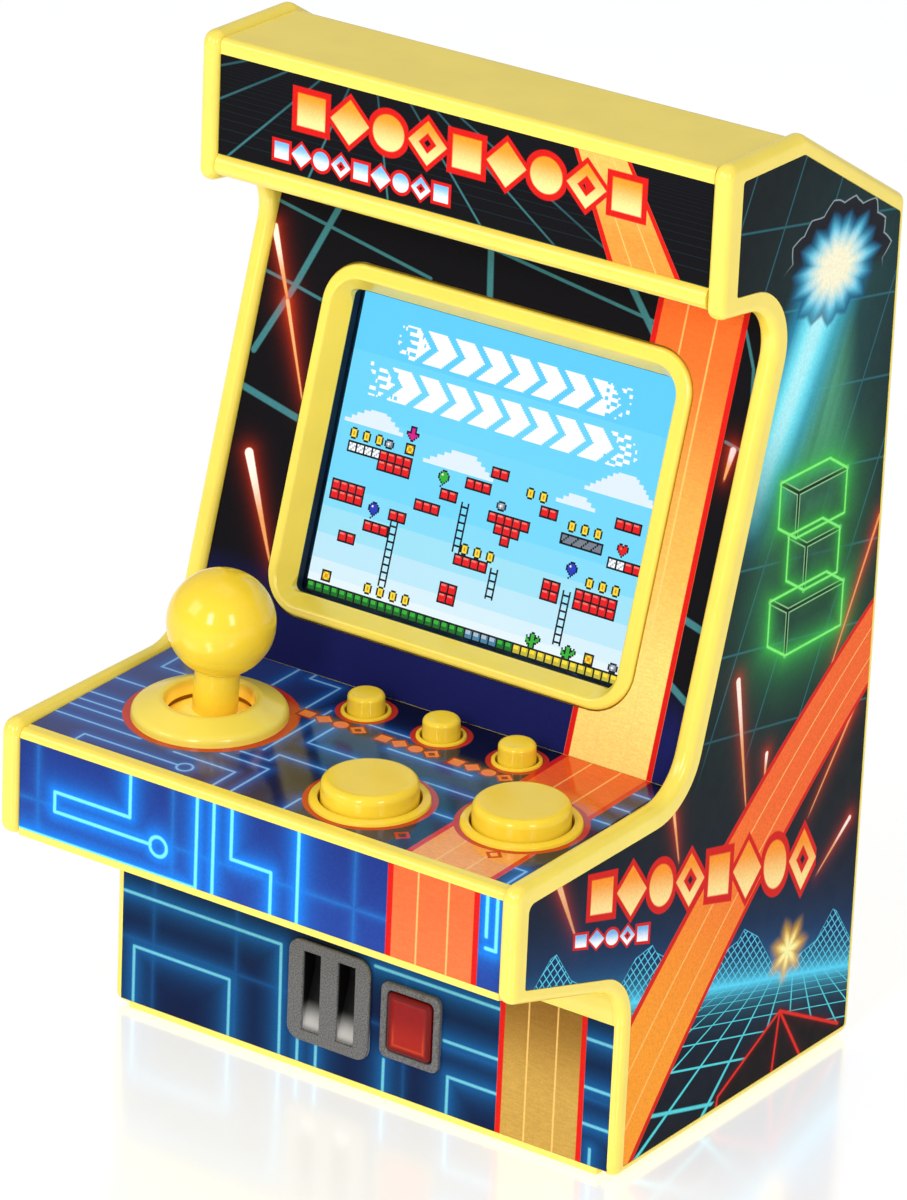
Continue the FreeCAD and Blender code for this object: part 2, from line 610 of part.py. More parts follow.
# ---------------------------------------------------------------- base, feet and back cover
base = plate("base_plate", "XY_Plane", [[(-CENTRE_HALF, WALL + 0.05, 0), (CENTRE_HALF, WALL + 0.05, 0),
                                         (CENTRE_HALF, BACK_INSIDE - 0.05, 0),
                                         (-CENTRE_HALF, BACK_INSIDE - 0.05, 0)]], "Sizes.wall")
FOOT_PLACES = [(x, y) for x in (-35.0, 35.0) for y in (9.5, 54.5)]
FOOT_RECESS = 0.6
wells = sketch(base, "XY_Plane", [], 0.0, [(x, y, "Sizes.foot_radius + 0.1") for x, y in FOOT_PLACES])
pocket(base, wells, str(FOOT_RECESS), reverse=True)
node(base, "base_plate", CABINET)

feet = [cylinder(f"Foot{i}", "Sizes.foot_radius", f"Sizes.foot_standoff + {FOOT_RECESS}",
                 (x, y, -size("foot_standoff"))) for i, (x, y) in enumerate(FOOT_PLACES)]
node(group("RubberFeet", feet), "rubber_feet", CABINET)

BAY_MIDDLE = size("bay_middle")
DOOR_OPENING = rectangle(0, BAY_MIDDLE, size("door_width") + 2 * size("door_gap"),
                         size("door_height") + 2 * size("door_gap"))
DOOR_AXIS = (BACK - 0.05 - size("door_thickness") / 2, BAY_MIDDLE - size("door_height") / 2 + 0.9)
SPEAKER_LEVEL = size("speaker_level")
SWITCH_X = size("switch_offset")
SWITCH_Z = size("switch_level")
COVER_TOP = ROOF_TOP - FALL * (BACK - APEX_DEPTH + 0.2) - ROOF_INNER - 0.05
GRILLE_RADIUS = 11.5
case_screw_places = [(side * CASE_SCREW_X, z) for side in (-1, 1) for z in CASE_SCREW_LEVELS]


def grille():
    """Five round-ended slots that fill the speaker's circle."""
    slots = []
    for drop in (-8.4, -4.2, 0.0, 4.2, 8.4):
        half = math.sqrt(GRILLE_RADIUS ** 2 - drop ** 2)
        slots.append(rectangle(0, SPEAKER_LEVEL + drop, 2 * half, 1.7, 0.84))
    return slots


cover_outline = rectangle(0, COVER_TOP / 2, 2 * CENTRE_HALF, COVER_TOP)
switch_slot = rectangle(SWITCH_X, SWITCH_Z, 7.4, 3.4)
cover = plate("back_cover", "XZ_Plane", [cover_outline, DOOR_OPENING, switch_slot] + grille(), "Sizes.wall",
              -BACK, [(x, z, "1.2") for x, z in case_screw_places])
counterbores = sketch(cover, "XZ_Plane", [], -BACK, [(x, z, "Sizes.screw_head + 0.2")
                                                     for x, z in case_screw_places])
pocket(cover, counterbores, "1.1", reverse=True)
rim = sketch(cover, "XZ_Plane", [], -BACK_INSIDE, [(0, SPEAKER_LEVEL, "Sizes.speaker_radius + 1.6"),
                                                   (0, SPEAKER_LEVEL, "Sizes.speaker_radius + 0.1")])
pad(cover, rim, "2.2")
PIN_SINK = 1.3
hinge_hole = sketch(cover, "YZ_Plane", [], -(size("door_width") / 2 + size("door_gap") + PIN_SINK),
                    [(*DOOR_AXIS, "Sizes.door_pin_radius + Sizes.pin_clearance")])
pocket(cover, hinge_hole, "Sizes.door_width + 2 * Sizes.door_gap + 2.6", reverse=True)
node(cover, "back_cover", CABINET)

# Battery door: a plate that turns on two end pins moulded into its lower edge.
HALF_THICK = size("door_thickness") / 2
door_low = DOOR_AXIS[1] - HALF_THICK
door_high = door_low + size("door_height")
door_profile = [(DOOR_AXIS[0] - HALF_THICK, door_low, HALF_THICK - 0.02),
                (DOOR_AXIS[0] + HALF_THICK, door_low, HALF_THICK - 0.02),
                (DOOR_AXIS[0] + HALF_THICK, door_high, 0.3), (DOOR_AXIS[0] - HALF_THICK, door_high, 0.3)]
door = body("battery_door")
pad(door, sketch(door, "YZ_Plane", [door_profile]), "Sizes.door_width", midplane=True)
pins = sketch(door, "YZ_Plane", [], 0.0, [(*DOOR_AXIS, "Sizes.door_pin_radius")])
pad(door, pins, "Sizes.door_width + 2 * Sizes.door_gap + 2.2", midplane=True)
grip = [rectangle(0, door_high - 5 - 2.2 * i, 20 - 4 * i, 1.0, 0.45) for i in range(4)]
pocket(door, sketch(door, "XZ_Plane", grip, -(BACK - 0.05)), "0.5", reverse=True)
node(door, "battery_door", CABINET)

# Battery box, three AA cells, end contacts and springs.
BAY_W = size("bay_width")
BAY_H = size("bay_height")
BOX_WALL = 1.15
BAY_FRONT = BACK_INSIDE - 0.1 - size("bay_depth")
bay = body("battery_box")
pad(bay, sketch(bay, "XZ_Plane", [rectangle(0, BAY_MIDDLE, BAY_W + 2 * BOX_WALL, BAY_H + 2 * BOX_WALL)],
                -(BACK_INSIDE - 0.1)), "Sizes.bay_depth + 1.5")
pocket(bay, sketch(bay, "XZ_Plane", [rectangle(0, BAY_MIDDLE, BAY_W, BAY_H)], -(BACK_INSIDE - 0.1)),
       "Sizes.bay_depth", reverse=True)
node(bay, "battery_box", CABINET)

CELL_R = size("cell_radius")
CELL_L = size("cell_length")
CELL_Y = BAY_FRONT + 0.3 + CELL_R
CONTACT = 0.4
NUB = 1.0
CELL_TURNS = 5
positive_x = BAY_W / 2 - CONTACT - 0.05
cells, contacts, coils = [], [], []


def coil(name, radius, wire, pitch, turns, at, rotation):
    """A round-wire helix along its own z axis, placed at its lower end."""
    helix = doc.addObject("Part::Helix", name + "Path")
    helix.Radius, helix.Pitch, helix.Height = radius, pitch, pitch * turns
    ring = doc.addObject("Part::Circle", name + "Wire")
    ring.Radius = wire
    ring.Placement = FreeCAD.Placement(Vec(radius, 0, 0), FreeCAD.Rotation(Vec(1, 0, 0), 90))
    item = doc.addObject("Part::Sweep", name)
    item.Sections, item.Spine = [ring], (helix, [])
    item.Solid, item.Frenet = True, True
    item.Placement = FreeCAD.Placement(Vec(*at), rotation)
    doc.recompute()
    return item


for i in (-1, 0, 1):
    side = 1 if i else -1
    z = BAY_MIDDLE + i * size("cell_pitch")
    nub_end = side * positive_x
    body_end = side * (positive_x - NUB)
    far_end = side * (positive_x - NUB - CELL_L)
    can = cylinder(f"Can{i + 1}", "Sizes.cell_radius", "Sizes.cell_length",
                   (min(body_end, far_end), CELL_Y, z), "x")
    cap = cylinder(f"CellNub{i + 1}", "2.6", "1.0", (min(nub_end, body_end), CELL_Y, z), "x")
    cells.append(fuse(f"Cell{i + 1}", [can, cap]))
    for end in (-1, 1):
        low = end * BAY_W / 2 - (CONTACT + 0.02 if end > 0 else -0.02)
        contacts.append(solid_box(f"Contact{i + 1}{end + 1}", (low, CELL_Y - 4.5, z - 4.5),
                                  (low + CONTACT, CELL_Y + 4.5, z + 4.5)))
    gap = BAY_W - 2 * CONTACT - NUB - CELL_L - 0.2
    coil_turn = FreeCAD.Rotation(Vec(0, 1, 0), -90 * side)
    coil_start = far_end - side * 0.45
    coils.append(coil(f"CellSpring{i + 1}", 3.25, 0.4, (gap - 1.0) / CELL_TURNS, CELL_TURNS,
                      (coil_start, CELL_Y, z), coil_turn))
node(group("BatteryCells", cells), "battery_cells", CABINET)
node(group("BatteryContacts", contacts), "battery_contacts", CABINET)
node(group("BatterySprings", coils), "battery_springs", CABINET)

# Speaker behind the grille, and the power switch with its slider.
SPEAKER_BACK = BACK_INSIDE - 0.05
speaker_disc = cylinder("SpeakerDisc", "Sizes.speaker_radius", "2.0",
                        (0, SPEAKER_BACK - 2.0, SPEAKER_LEVEL), "y")
speaker_magnet = cylinder("SpeakerMagnet", "8", "4.2", (0, SPEAKER_BACK - 6.0, SPEAKER_LEVEL), "y")
speaker_hollow = doc.addObject("Part::Cone", "SpeakerHollow")
speaker_hollow.Radius1, speaker_hollow.Radius2, speaker_hollow.Height = 4.0, 12.5, 1.6
speaker_hollow.Placement = FreeCAD.Placement(Vec(0, SPEAKER_BACK - 1.6, SPEAKER_LEVEL), AXIS_TURN["y"])
speaker = cut("Speaker", fuse("SpeakerBody", [speaker_disc, speaker_magnet]), [speaker_hollow])
node(speaker, "speaker", CABINET)

switch_body = solid_box("PowerSwitch", (SWITCH_X - 5.0, BACK_INSIDE - 4.6, SWITCH_Z - 2.6),
                        (SWITCH_X + 5.0, BACK_INSIDE - 0.05, SWITCH_Z + 2.6))
node(group("PowerSwitchBody", [switch_body]), "power_switch", CABINET)
KNOB = 2.8
knob_low = SWITCH_X - 3.4
knob = plate("power_switch_slider", "XZ_Plane", [rectangle(knob_low + KNOB / 2, SWITCH_Z, KNOB, 2.6)], "1.8",
             -(BACK_INSIDE + 1.8))
ribs = [rectangle(knob_low + 0.75 + 0.65 * i, SWITCH_Z, 0.3, 2.0) for i in range(3)]
pocket(knob, sketch(knob, "XZ_Plane", ribs, -(BACK_INSIDE + 1.8)), "0.3", reverse=True)
node(knob, "power_switch_slider", CABINET)


def screw(name, at, turn, length):
    """A pan-head screw: the head's outer face is at the given point, the shank runs along local -z."""
    head = doc.addObject("Part::Cylinder", name + "Head")
    head.setExpression("Radius", "Sizes.screw_head")
    head.Height = 1.0
    head.Placement.Base = Vec(0, 0, -1.0)
    shank = doc.addObject("Part::Cylinder", name + "Shank")
    shank.setExpression("Radius", "Sizes.screw_shank")
    shank.Height = length
    shank.Placement.Base = Vec(0, 0, -1.0 - length)
    slots = [solid_box(name + "SlotA", (-1.4, -0.25, -0.45), (1.4, 0.25, 0.1)),
             solid_box(name + "SlotB", (-0.25, -1.4, -0.45), (0.25, 1.4, 0.1))]
    item = cut(name, fuse(name + "Blank", [head, shank]), slots)
    item.Placement = FreeCAD.Placement(Vec(*at), turn)
    return item


FACING_BACK = FreeCAD.Rotation(Vec(1, 0, 0), -90)
case_screws = [screw(f"CaseScrew{i}", (x, BACK - 0.08, z), FACING_BACK, 7.2)
               for i, (x, z) in enumerate(case_screw_places)]
node(group("CaseScrews", case_screws), "case_screws", CABINET)

# ---------------------------------------------------------------- boards
BOARD_DROP = size("board_drop")
BOARD_BACK = -BOARD_DROP - size("board_thickness")
board_outline = rectangle(0, 34.2, size("board_width"), size("board_length"), 1.5)
main_plate = plate("MainBoardPlate", "XY_Plane", [board_outline], "Sizes.board_thickness", BOARD_BACK,
                   [(x, y, "1.1") for x, y in BOARD_HOLES])
chips = [solid_box("Processor", (-8, 30, BOARD_BACK - 1.4), (6, 44, BOARD_BACK)),
         solid_box("Memory", (14, 34, BOARD_BACK - 1.1), (24, 42, BOARD_BACK)),
         solid_box("Regulator", (-26, 46, BOARD_BACK - 2.0), (-20, 52, BOARD_BACK)),
         solid_box("RibbonSocket", (14, 4, BOARD_BACK - 2.4), (30, 8, BOARD_BACK)),
         solid_box("PowerSocket", (-30, 5, BOARD_BACK - 4.0), (-22, 10, BOARD_BACK))]
chips.append(cylinder("Capacitor", "2.6", "6", (-14, 56, BOARD_BACK - 6), "z"))
node(fuse("MainBoard", [main_plate] + chips), "main_board", SCREEN)
HEAD_DOWN = FreeCAD.Rotation(Vec(1, 0, 0), 180)
board_screws = [screw(f"BoardScrew{i}", (x, y, BOARD_BACK - 1.02), HEAD_DOWN, 6.5)
                for i, (x, y) in enumerate(BOARD_HOLES)]
node(group("BoardScrews", board_screws), "main_board_screws", SCREEN)

KEY_DROP = size("keyboard_drop")
KEY_BACK = -KEY_DROP - size("keyboard_thickness")
KEY_POSTS = [(-3.8, 5.5), (39.2, 5.0), (-3.8, 24.0), (38.8, 33.0)]
key_outline = [(-7.5, 2.5, 1.0), (41.6, 2.5, 1.0), (41.6, 36.6, 1.0), (-11.2, 36.6, 1.0), (-11.2, 31.0, 1.0),
               (-7.5, 27.0, 1.0)]
key_plate = plate("ControlBoardPlate", "XY_Plane", [key_outline], "Sizes.keyboard_thickness", KEY_BACK,
                  [(x, y, "1.1") for x, y in KEY_POSTS])
key_socket = solid_box("KeySocket", (14, 31.5, KEY_BACK - 2.4), (30, 35.5, KEY_BACK))
node(fuse("ControlBoard", [key_plate, key_socket]), "control_board", DECK)
key_screws = [screw(f"KeyScrew{i}", (x, y, KEY_BACK - 1.02), HEAD_DOWN, 5.0)
              for i, (x, y) in enumerate(KEY_POSTS)]
node(group("KeyScrews", key_screws), "control_board_screws", DECK)
posts = sketch(deck, "XY_Plane", [], -FILM - WALL, [(x, y, "2.4") for x, y in KEY_POSTS])
pad(deck, posts, "Sizes.keyboard_drop - Sizes.wall - Sizes.film", reverse=True)
pilots = sketch(deck, "XY_Plane", [], -KEY_DROP, [(x, y, "Sizes.screw_pilot") for x, y in KEY_POSTS])
pocket(deck, pilots, "5", reverse=True)

# ---------------------------------------------------------------- push buttons
BIG_R = size("big_cap_radius")
BIG_TOP = size("big_cap_rise")
GAP = size("running_gap")
SLEEVE = 0.6
UNDERSIDE = -FILM - WALL


def dome(name, at, low_radius, high_radius, plunger_low):
    """The rubber spring that a button's plunger rests on."""
    item = doc.addObject("Part::Cone", name + "Cone")
    item.Radius1, item.Radius2 = low_radius, high_radius
    item.Height = plunger_low + KEY_DROP - 0.02
    item.Placement.Base = Vec(*at, -KEY_DROP + 0.01)
    return node(group(name, [item]), name, DECK)


def shifted(placement, at, z=0.0):
    return placement.multiply(FreeCAD.Placement(Vec(*at, z), FreeCAD.Rotation()))


def big_button(name, at):
    """A hollow cap with a plunger and a retaining flange, in a collar that fills the deck hole."""
    flange_high = UNDERSIDE - SLEEVE
    flange_low = flange_high - 0.8
    plunger_low = flange_low - 0.6
    cap = turned(name + "_cap", [
        (0, plunger_low, 0), (2.0, plunger_low, 0), (2.0, BIG_TOP - 1.3, 0.4),
        (BIG_R - 1.3, BIG_TOP - 1.3, 0.4),
        (BIG_R - 1.3, flange_low, 0), (BIG_R + 0.8, flange_low, 0), (BIG_R + 0.8, flange_high, 0),
        (BIG_R, flange_high, 0), (BIG_R - 0.08, BIG_TOP, 1.15), (0, BIG_TOP, 0)])
    node(cap, name + "_cap", shifted(DECK, at))
    inner = BIG_R + GAP
    collar = turned(name + "_collar", [
        (inner, UNDERSIDE - 0.3, 0), (inner + SLEEVE, UNDERSIDE - 0.3, 0), (inner + SLEEVE, 0.01, 0),
        (size("big_collar_radius"), 0.01, 0), (size("big_collar_radius") - 0.1, 0.45, 0.2),
        (inner + 0.55, size("big_collar_rise"), 0.3), (inner, size("big_collar_rise"), 0.2)])
    node(collar, name + "_collar", shifted(DECK, at))
    dome(name + "_dome", at, 4.2, 2.3, plunger_low)


big_button("button_a", BUTTON_A)
big_button("button_b", BUTTON_B)

SMALL_R = size("small_cap_radius")
SMALL_TOP = size("small_cap_rise")
SMALL_COLLAR_R = size("small_collar_radius")
SMALL_COLLAR_TOP = size("small_collar_rise")
for label, x, y in SMALL_BUTTONS:
    flange_high = UNDERSIDE - 0.35
    flange_low = flange_high - 0.8
    plunger_low = flange_low - 0.5
    small_cap = turned(label + "_button_cap", [
        (0, plunger_low, 0), (1.5, plunger_low, 0), (1.5, flange_low, 0), (SMALL_R + 1.0, flange_low, 0),
        (SMALL_R + 1.0, flange_high, 0), (SMALL_R, flange_high, 0), (SMALL_R - 0.08, SMALL_TOP, 0.75),
        (0, SMALL_TOP, 0)])
    node(small_cap, label + "_button_cap", shifted(DECK, (x, y)))
    dome(label + "_button_dome", (x, y), 2.6, 1.6, plunger_low)

rings = []
for label, x, y in SMALL_BUTTONS:
    inner = SMALL_R + GAP
    ring = turned(label + "Ring", [
        (inner, UNDERSIDE, 0), (inner + 0.4, UNDERSIDE, 0), (inner + 0.4, 0.01, 0),
        (SMALL_COLLAR_R, 0.01, 0), (SMALL_COLLAR_R - 0.05, SMALL_COLLAR_TOP, 0.12),
        (inner, SMALL_COLLAR_TOP, 0.12)])
    ring.Placement = FreeCAD.Placement(Vec(x, y, 0), FreeCAD.Rotation())
    rings.append(ring)
node(group("SmallCollars", rings), "small_button_collars", DECK)

# ---------------------------------------------------------------- joystick
# Stick frame: origin at the pivot, z up the upright stick. The stick's neutral leans to the right.
PIVOT = size("pivot_drop")
STICK_LEAN = 4.5
STAND = shifted(DECK, STICK, -PIVOT)
LEANING = STAND.multiply(FreeCAD.Placement(Vec(0, 0, 0), FreeCAD.Rotation(Vec(0, 1, 0), STICK_LEAN)))

MOUTH = size("ring_mouth")
RING_R = size("ring_radius")
CREST = size("ring_crest")
WELL = size("deck_well_radius")
trim = turned("joystick_ring", [
    (WELL - 0.06, 0.01, 0), (RING_R, 0.01, 0), (RING_R - 0.12, 1.3, 1.05), (MOUTH + 0.75, CREST + 0.03, 1.1),
    (MOUTH - 0.02, CREST - 0.1, 0.25), (MOUTH - 0.35, 0.6, 0), (MOUTH + 0.15, 0.6, 0), (MOUTH + 0.8, 1.7, 0.4),
    (WELL - 0.5, 0.6, 0.3), (WELL - 0.5, UNDERSIDE, 0), (WELL - 0.06, UNDERSIDE, 0)])
node(trim, "joystick_ring", shifted(DECK, STICK))

HOUSING_R = size("housing_radius")
HOUSING_TOP = PIVOT + UNDERSIDE - 0.02
HOUSING_LOW = PIVOT - size("housing_bottom")
HOUSING_WALL = size("housing_wall")
cup = turned("HousingCup", [
    (0, HOUSING_LOW, 0), (HOUSING_R, HOUSING_LOW, 0), (HOUSING_R, HOUSING_TOP, 0),
    (HOUSING_R - HOUSING_WALL, HOUSING_TOP, 0), (HOUSING_R - HOUSING_WALL, HOUSING_LOW + HOUSING_WALL, 0),
    (0, HOUSING_LOW + HOUSING_WALL, 0)])
FLOOR = HOUSING_LOW + HOUSING_WALL
POST_TOP = 1.9
POST_IN, POST_OUT = 8.0, 10.0
GIMBAL_PIN_END = 9.6
bearings = []
for side in (-1, 1):
    low_x, high_x = sorted((side * POST_IN, side * POST_OUT))
    block = solid_box(f"BearingBlock{side + 1}", (low_x, -2.3, FLOOR - 0.2), (high_x, 2.3, POST_TOP))
    bearings.append(block)
bearing_bore = cylinder("BearingBore", "Sizes.gimbal_pin_radius + Sizes.pin_clearance", "20.4",
                        (-10.2, 0, 0), "x")
housing = cut("JoystickHousing", fuse("HousingBlank", [cup] + bearings), [bearing_bore])
node(housing, "joystick_housing", STAND)

half_height = size("gimbal_height") / 2
hoop = turned("GimbalHoop", [
    (size("gimbal_inner"), -half_height, 0.3), (size("gimbal_outer"), -half_height, 0.3),
    (size("gimbal_outer"), half_height, 0.3), (size("gimbal_inner"), half_height, 0.3)])
pin_root = size("gimbal_outer") - 0.6
gimbal_pins = [cylinder("GimbalPinRight", "Sizes.gimbal_pin_radius", str(GIMBAL_PIN_END - pin_root),
                        (pin_root, 0, 0), "x"),
               cylinder("GimbalPinLeft", "Sizes.gimbal_pin_radius", str(GIMBAL_PIN_END - pin_root),
                        (-GIMBAL_PIN_END, 0, 0), "x")]
cross_bore = cylinder("CrossBore", "Sizes.cross_pin_radius + Sizes.pin_clearance", "20", (0, -10, 0), "y")
gimbal = cut("GimbalRing", fuse("GimbalBlank", [hoop] + gimbal_pins), [cross_bore])
node(gimbal, "gimbal_ring", STAND)

BALL_R = size("ball_radius")
BALL_Z = PIVOT + size("ball_rise")
STEM_R = size("stem_radius")
STEM_TOP = BALL_Z - math.sqrt(BALL_R ** 2 - STEM_R ** 2)
STEM_LOW = size("dome_radius") - 1.0
CORE_R = 2.4
CORE_LOW = -3.9
shaft = turned("ShaftTurned", [
    (0, CORE_LOW, 0), (CORE_R, CORE_LOW, 0.5), (CORE_R, STEM_LOW, 0), (STEM_R, STEM_LOW, 0),
    (STEM_R, STEM_TOP, 0), (CORE_R, STEM_TOP, 0), (CORE_R, BALL_Z, 0.4), (0, BALL_Z, 0)])
cross_pin = cylinder("CrossPin", "Sizes.cross_pin_radius", "12.6", (0, -6.3, 0), "y")
node(fuse("JoystickShaft", [shaft, cross_pin]), "joystick_shaft", LEANING)

globe = doc.addObject("Part::Sphere", "Globe")
globe.setExpression("Radius", "Sizes.ball_radius")
globe.Placement.Base = Vec(0, 0, BALL_Z)
seat = cylinder("BallSeat", "Sizes.stem_radius + 0.3", "3", (0, 0, STEM_TOP - 3))
socket = cylinder("BallSocket", "2.42", str(BALL_Z - STEM_TOP + 0.5), (0, 0, STEM_TOP - 0.1))
node(cut("BallKnob", globe, [seat, socket]), "joystick_ball", LEANING)

outer_dome = doc.addObject("Part::Sphere", "DomeOutside")
outer_dome.setExpression("Radius", "Sizes.dome_radius")
outer_dome.setExpression("Angle1", "90 - Sizes.dome_angle")
inner_dome = doc.addObject("Part::Sphere", "DomeInside")
inner_dome.setExpression("Radius", "Sizes.dome_radius - Sizes.dome_thickness")
dome_bore = cylinder("DomeBore", "2.42", "20", (0, 0, 0))
stem_bore = cylinder("StemBore", "Sizes.stem_radius + 0.02", "5", (0, 0, STEM_LOW - 0.02))
node(cut("DustDome", outer_dome, [inner_dome, dome_bore, stem_bore]), "dust_dome", LEANING)

SPRING_LOW, SPRING_HIGH = 3.1, 9.4
SPRING_TURNS = 5
centring = coil("CentringSpring", 3.25, 0.4, (SPRING_HIGH - SPRING_LOW) / SPRING_TURNS, SPRING_TURNS,
                (0, 0, 0), FreeCAD.Rotation())
lifted = group("CentringSpringPlaced", [centring])
centring.Placement.Base = Vec(0, 0, SPRING_LOW)
node(lifted, "centring_spring", LEANING)

switches = []
for i in range(4):
    turn = FreeCAD.Rotation(Vec(0, 0, 1), 90 * i)
    case = solid_box(f"SwitchCase{i}", (4.7, -1.5, FLOOR + 0.01), (7.3, 1.5, FLOOR + 1.7))
    plunger = cylinder(f"SwitchPlunger{i}", "0.5", "1.5", (3.35, 0, FLOOR + 0.9), "x")
    switch = fuse(f"Switch{i}", [case, plunger])
    switch.Placement.Rotation = turn
    switches.append(switch)
node(group("DirectionSwitches", switches), "direction_switches", STAND)

# ---------------------------------------------------------------- ribbon cable between the two boards
ribbon_start = CABINET.inverse().multVec(SCREEN.multVec(Vec(0, 6, BOARD_BACK - 2.45)))
ribbon_end = CABINET.inverse().multVec(DECK.multVec(Vec(0, 33.5, KEY_BACK - 2.45)))
RIBBON = 0.5
RIBBON_BULGE = 3.2
RIBBON_SAG = 3.5
RIBBON_LEAD = 0.6
bulge_y = ribbon_start.y + RIBBON_BULGE
sag_z = ribbon_end.z - RIBBON_SAG
ribbon_path = [(ribbon_start.y, ribbon_start.z), (bulge_y, ribbon_start.z - RIBBON_LEAD),
               (bulge_y, sag_z), (ribbon_end.y, sag_z), (ribbon_end.y, ribbon_end.z)]
inner_path = [(ribbon_start.y - 0.1, ribbon_start.z - RIBBON),
              (bulge_y - RIBBON, ribbon_start.z - RIBBON_LEAD - RIBBON), (bulge_y - RIBBON, sag_z + RIBBON),
              (ribbon_end.y + RIBBON, sag_z + RIBBON), (ribbon_end.y + RIBBON, ribbon_end.z)]
BENDS = (0, 0.9, 2.5, 1.6, 0)
INNER_BENDS = (0, 0.4, 2.0, 1.1, 0)
ribbon_profile = [(*p, r) for p, r in zip(ribbon_path, BENDS)]
ribbon_profile += [(*p, r) for p, r in zip(inner_path[::-1], INNER_BENDS[::-1])]
ribbon = body("ribbon_cable")
ribbon_sketch = sketch(ribbon, "YZ_Plane", [ribbon_profile], 15.5)
pad(ribbon, ribbon_sketch, "13")
node(ribbon, "ribbon_cable", CABINET)

# ---------------------------------------------------------------- check and write
doc.recompute()
for item in doc.Objects:
    if "Invalid" in item.State or "Error" in item.State:
        raise RuntimeError(f"{item.Name} failed: {item.State}")
labels = [item.Label for item in nodes]
if len(set(labels)) != len(labels):
    raise RuntimeError("two nodes share a name")
for item in nodes:
    if item.Shape.isNull() or not item.Shape.isValid():
        raise RuntimeError(f"{item.Label} has no valid shape")
os.makedirs("parts", exist_ok=True)
for item in nodes:
    item.Shape.exportStep(os.path.join("parts", item.Label + ".step"))
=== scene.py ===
"""The looks of a palm-size arcade cabinet: plastics, printed films, the lit display and the studio."""

import math

import bpy
from mathutils import Matrix, Vector


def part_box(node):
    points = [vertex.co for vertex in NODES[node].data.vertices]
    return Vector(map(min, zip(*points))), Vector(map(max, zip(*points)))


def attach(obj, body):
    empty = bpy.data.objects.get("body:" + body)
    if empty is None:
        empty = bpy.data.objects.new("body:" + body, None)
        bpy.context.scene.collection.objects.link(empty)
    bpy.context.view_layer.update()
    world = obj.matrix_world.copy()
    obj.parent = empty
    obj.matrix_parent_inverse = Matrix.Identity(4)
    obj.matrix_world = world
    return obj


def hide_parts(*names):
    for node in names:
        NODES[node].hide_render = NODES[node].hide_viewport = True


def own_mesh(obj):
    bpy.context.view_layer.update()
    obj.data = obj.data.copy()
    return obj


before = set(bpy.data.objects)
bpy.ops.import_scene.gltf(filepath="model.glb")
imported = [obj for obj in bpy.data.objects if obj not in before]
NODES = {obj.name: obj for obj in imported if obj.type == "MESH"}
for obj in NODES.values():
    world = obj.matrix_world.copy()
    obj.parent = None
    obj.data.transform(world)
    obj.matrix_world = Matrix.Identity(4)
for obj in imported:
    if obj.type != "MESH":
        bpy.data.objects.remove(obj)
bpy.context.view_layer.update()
MM = 0.001
PER_M = 1000.0


# ---------------------------------------------------------------- colours
def srgb(red, green, blue, alpha=1.0):
    """A linear colour from the 0 to 255 numbers of a colour chart."""
    def linear(value):
        value /= 255
        return value / 12.92 if value <= 0.04045 else ((value + 0.055) / 1.055) ** 2.4
    return (linear(red), linear(green), linear(blue), alpha)


YELLOW = srgb(250, 225, 88)
GOLD = srgb(249, 213, 56)
INK_BLACK = srgb(17, 16, 20)
TEAL = srgb(62, 122, 128)
DEEP_TEAL = srgb(30, 70, 78)
NEON = srgb(120, 225, 255)
NEON_HALO = srgb(20, 120, 235)
RED_INK = srgb(214, 28, 24)
PALE_STRIPE_LINE = srgb(255, 205, 120)


# ---------------------------------------------------------------- node arithmetic
class Field:
    """A number or vector inside a material's node tree."""

    def __init__(self, tree, socket):
        self.tree = tree
        self.socket = socket

    def maths(self, operation, *others, clamp=False):
        node = self.tree.nodes.new("ShaderNodeMath")
        node.operation = operation
        node.use_clamp = clamp
        for socket, value in zip(node.inputs, (self, *others)):
            wire(self.tree, value, socket)
        return Field(self.tree, node.outputs[0])

    def vector(self, operation, *others, scale=None, number=False):
        node = self.tree.nodes.new("ShaderNodeVectorMath")
        node.operation = operation
        for socket, value in zip(node.inputs, (self, *others)):
            wire(self.tree, value, socket)
        if scale is not None:
            wire(self.tree, scale, node.inputs["Scale"])
        return Field(self.tree, node.outputs["Value" if number else "Vector"])

    def __add__(self, other):
        return self.maths("ADD", other)

    def __sub__(self, other):
        return self.maths("SUBTRACT", other)

    def __rsub__(self, other):
        return self.maths("MULTIPLY_ADD", -1.0, other)

    def __mul__(self, other):
        return self.maths("MULTIPLY", other)

    def __truediv__(self, other):
        return self.maths("DIVIDE", other)

    def ramp(self, start, end, low=0.0, high=1.0, smooth=True):
        """low at start and before, high at end and after."""
        node = self.tree.nodes.new("ShaderNodeMapRange")
        node.interpolation_type = "SMOOTHSTEP" if smooth else "LINEAR"
        for socket, value in zip(node.inputs, (self, start, end, low, high)):
            wire(self.tree, value, socket)
        return Field(self.tree, node.outputs[0])


def wire(tree, value, socket):
    if isinstance(value, Field):
        tree.links.new(value.socket, socket)
    else:
        socket.default_value = value


def point(tree, u, v):
    """A place on a printed surface, as a vector of millimetres."""
    node = tree.nodes.new("ShaderNodeCombineXYZ")
    wire(tree, u, node.inputs[0])
    wire(tree, v, node.inputs[1])
    return Field(tree, node.outputs[0])


def surface_fields(tree, origin, across, up):
    """Millimetres across and up a surface, measured from its origin."""
    place = Field(tree, tree.nodes.new("ShaderNodeTexCoord").outputs["Object"])
    fields = []
    for direction in (across, up):
        along = place.vector("DOT_PRODUCT", tuple(direction * PER_M), number=True)
        fields.append(along - direction.dot(origin) * PER_M)
    return fields


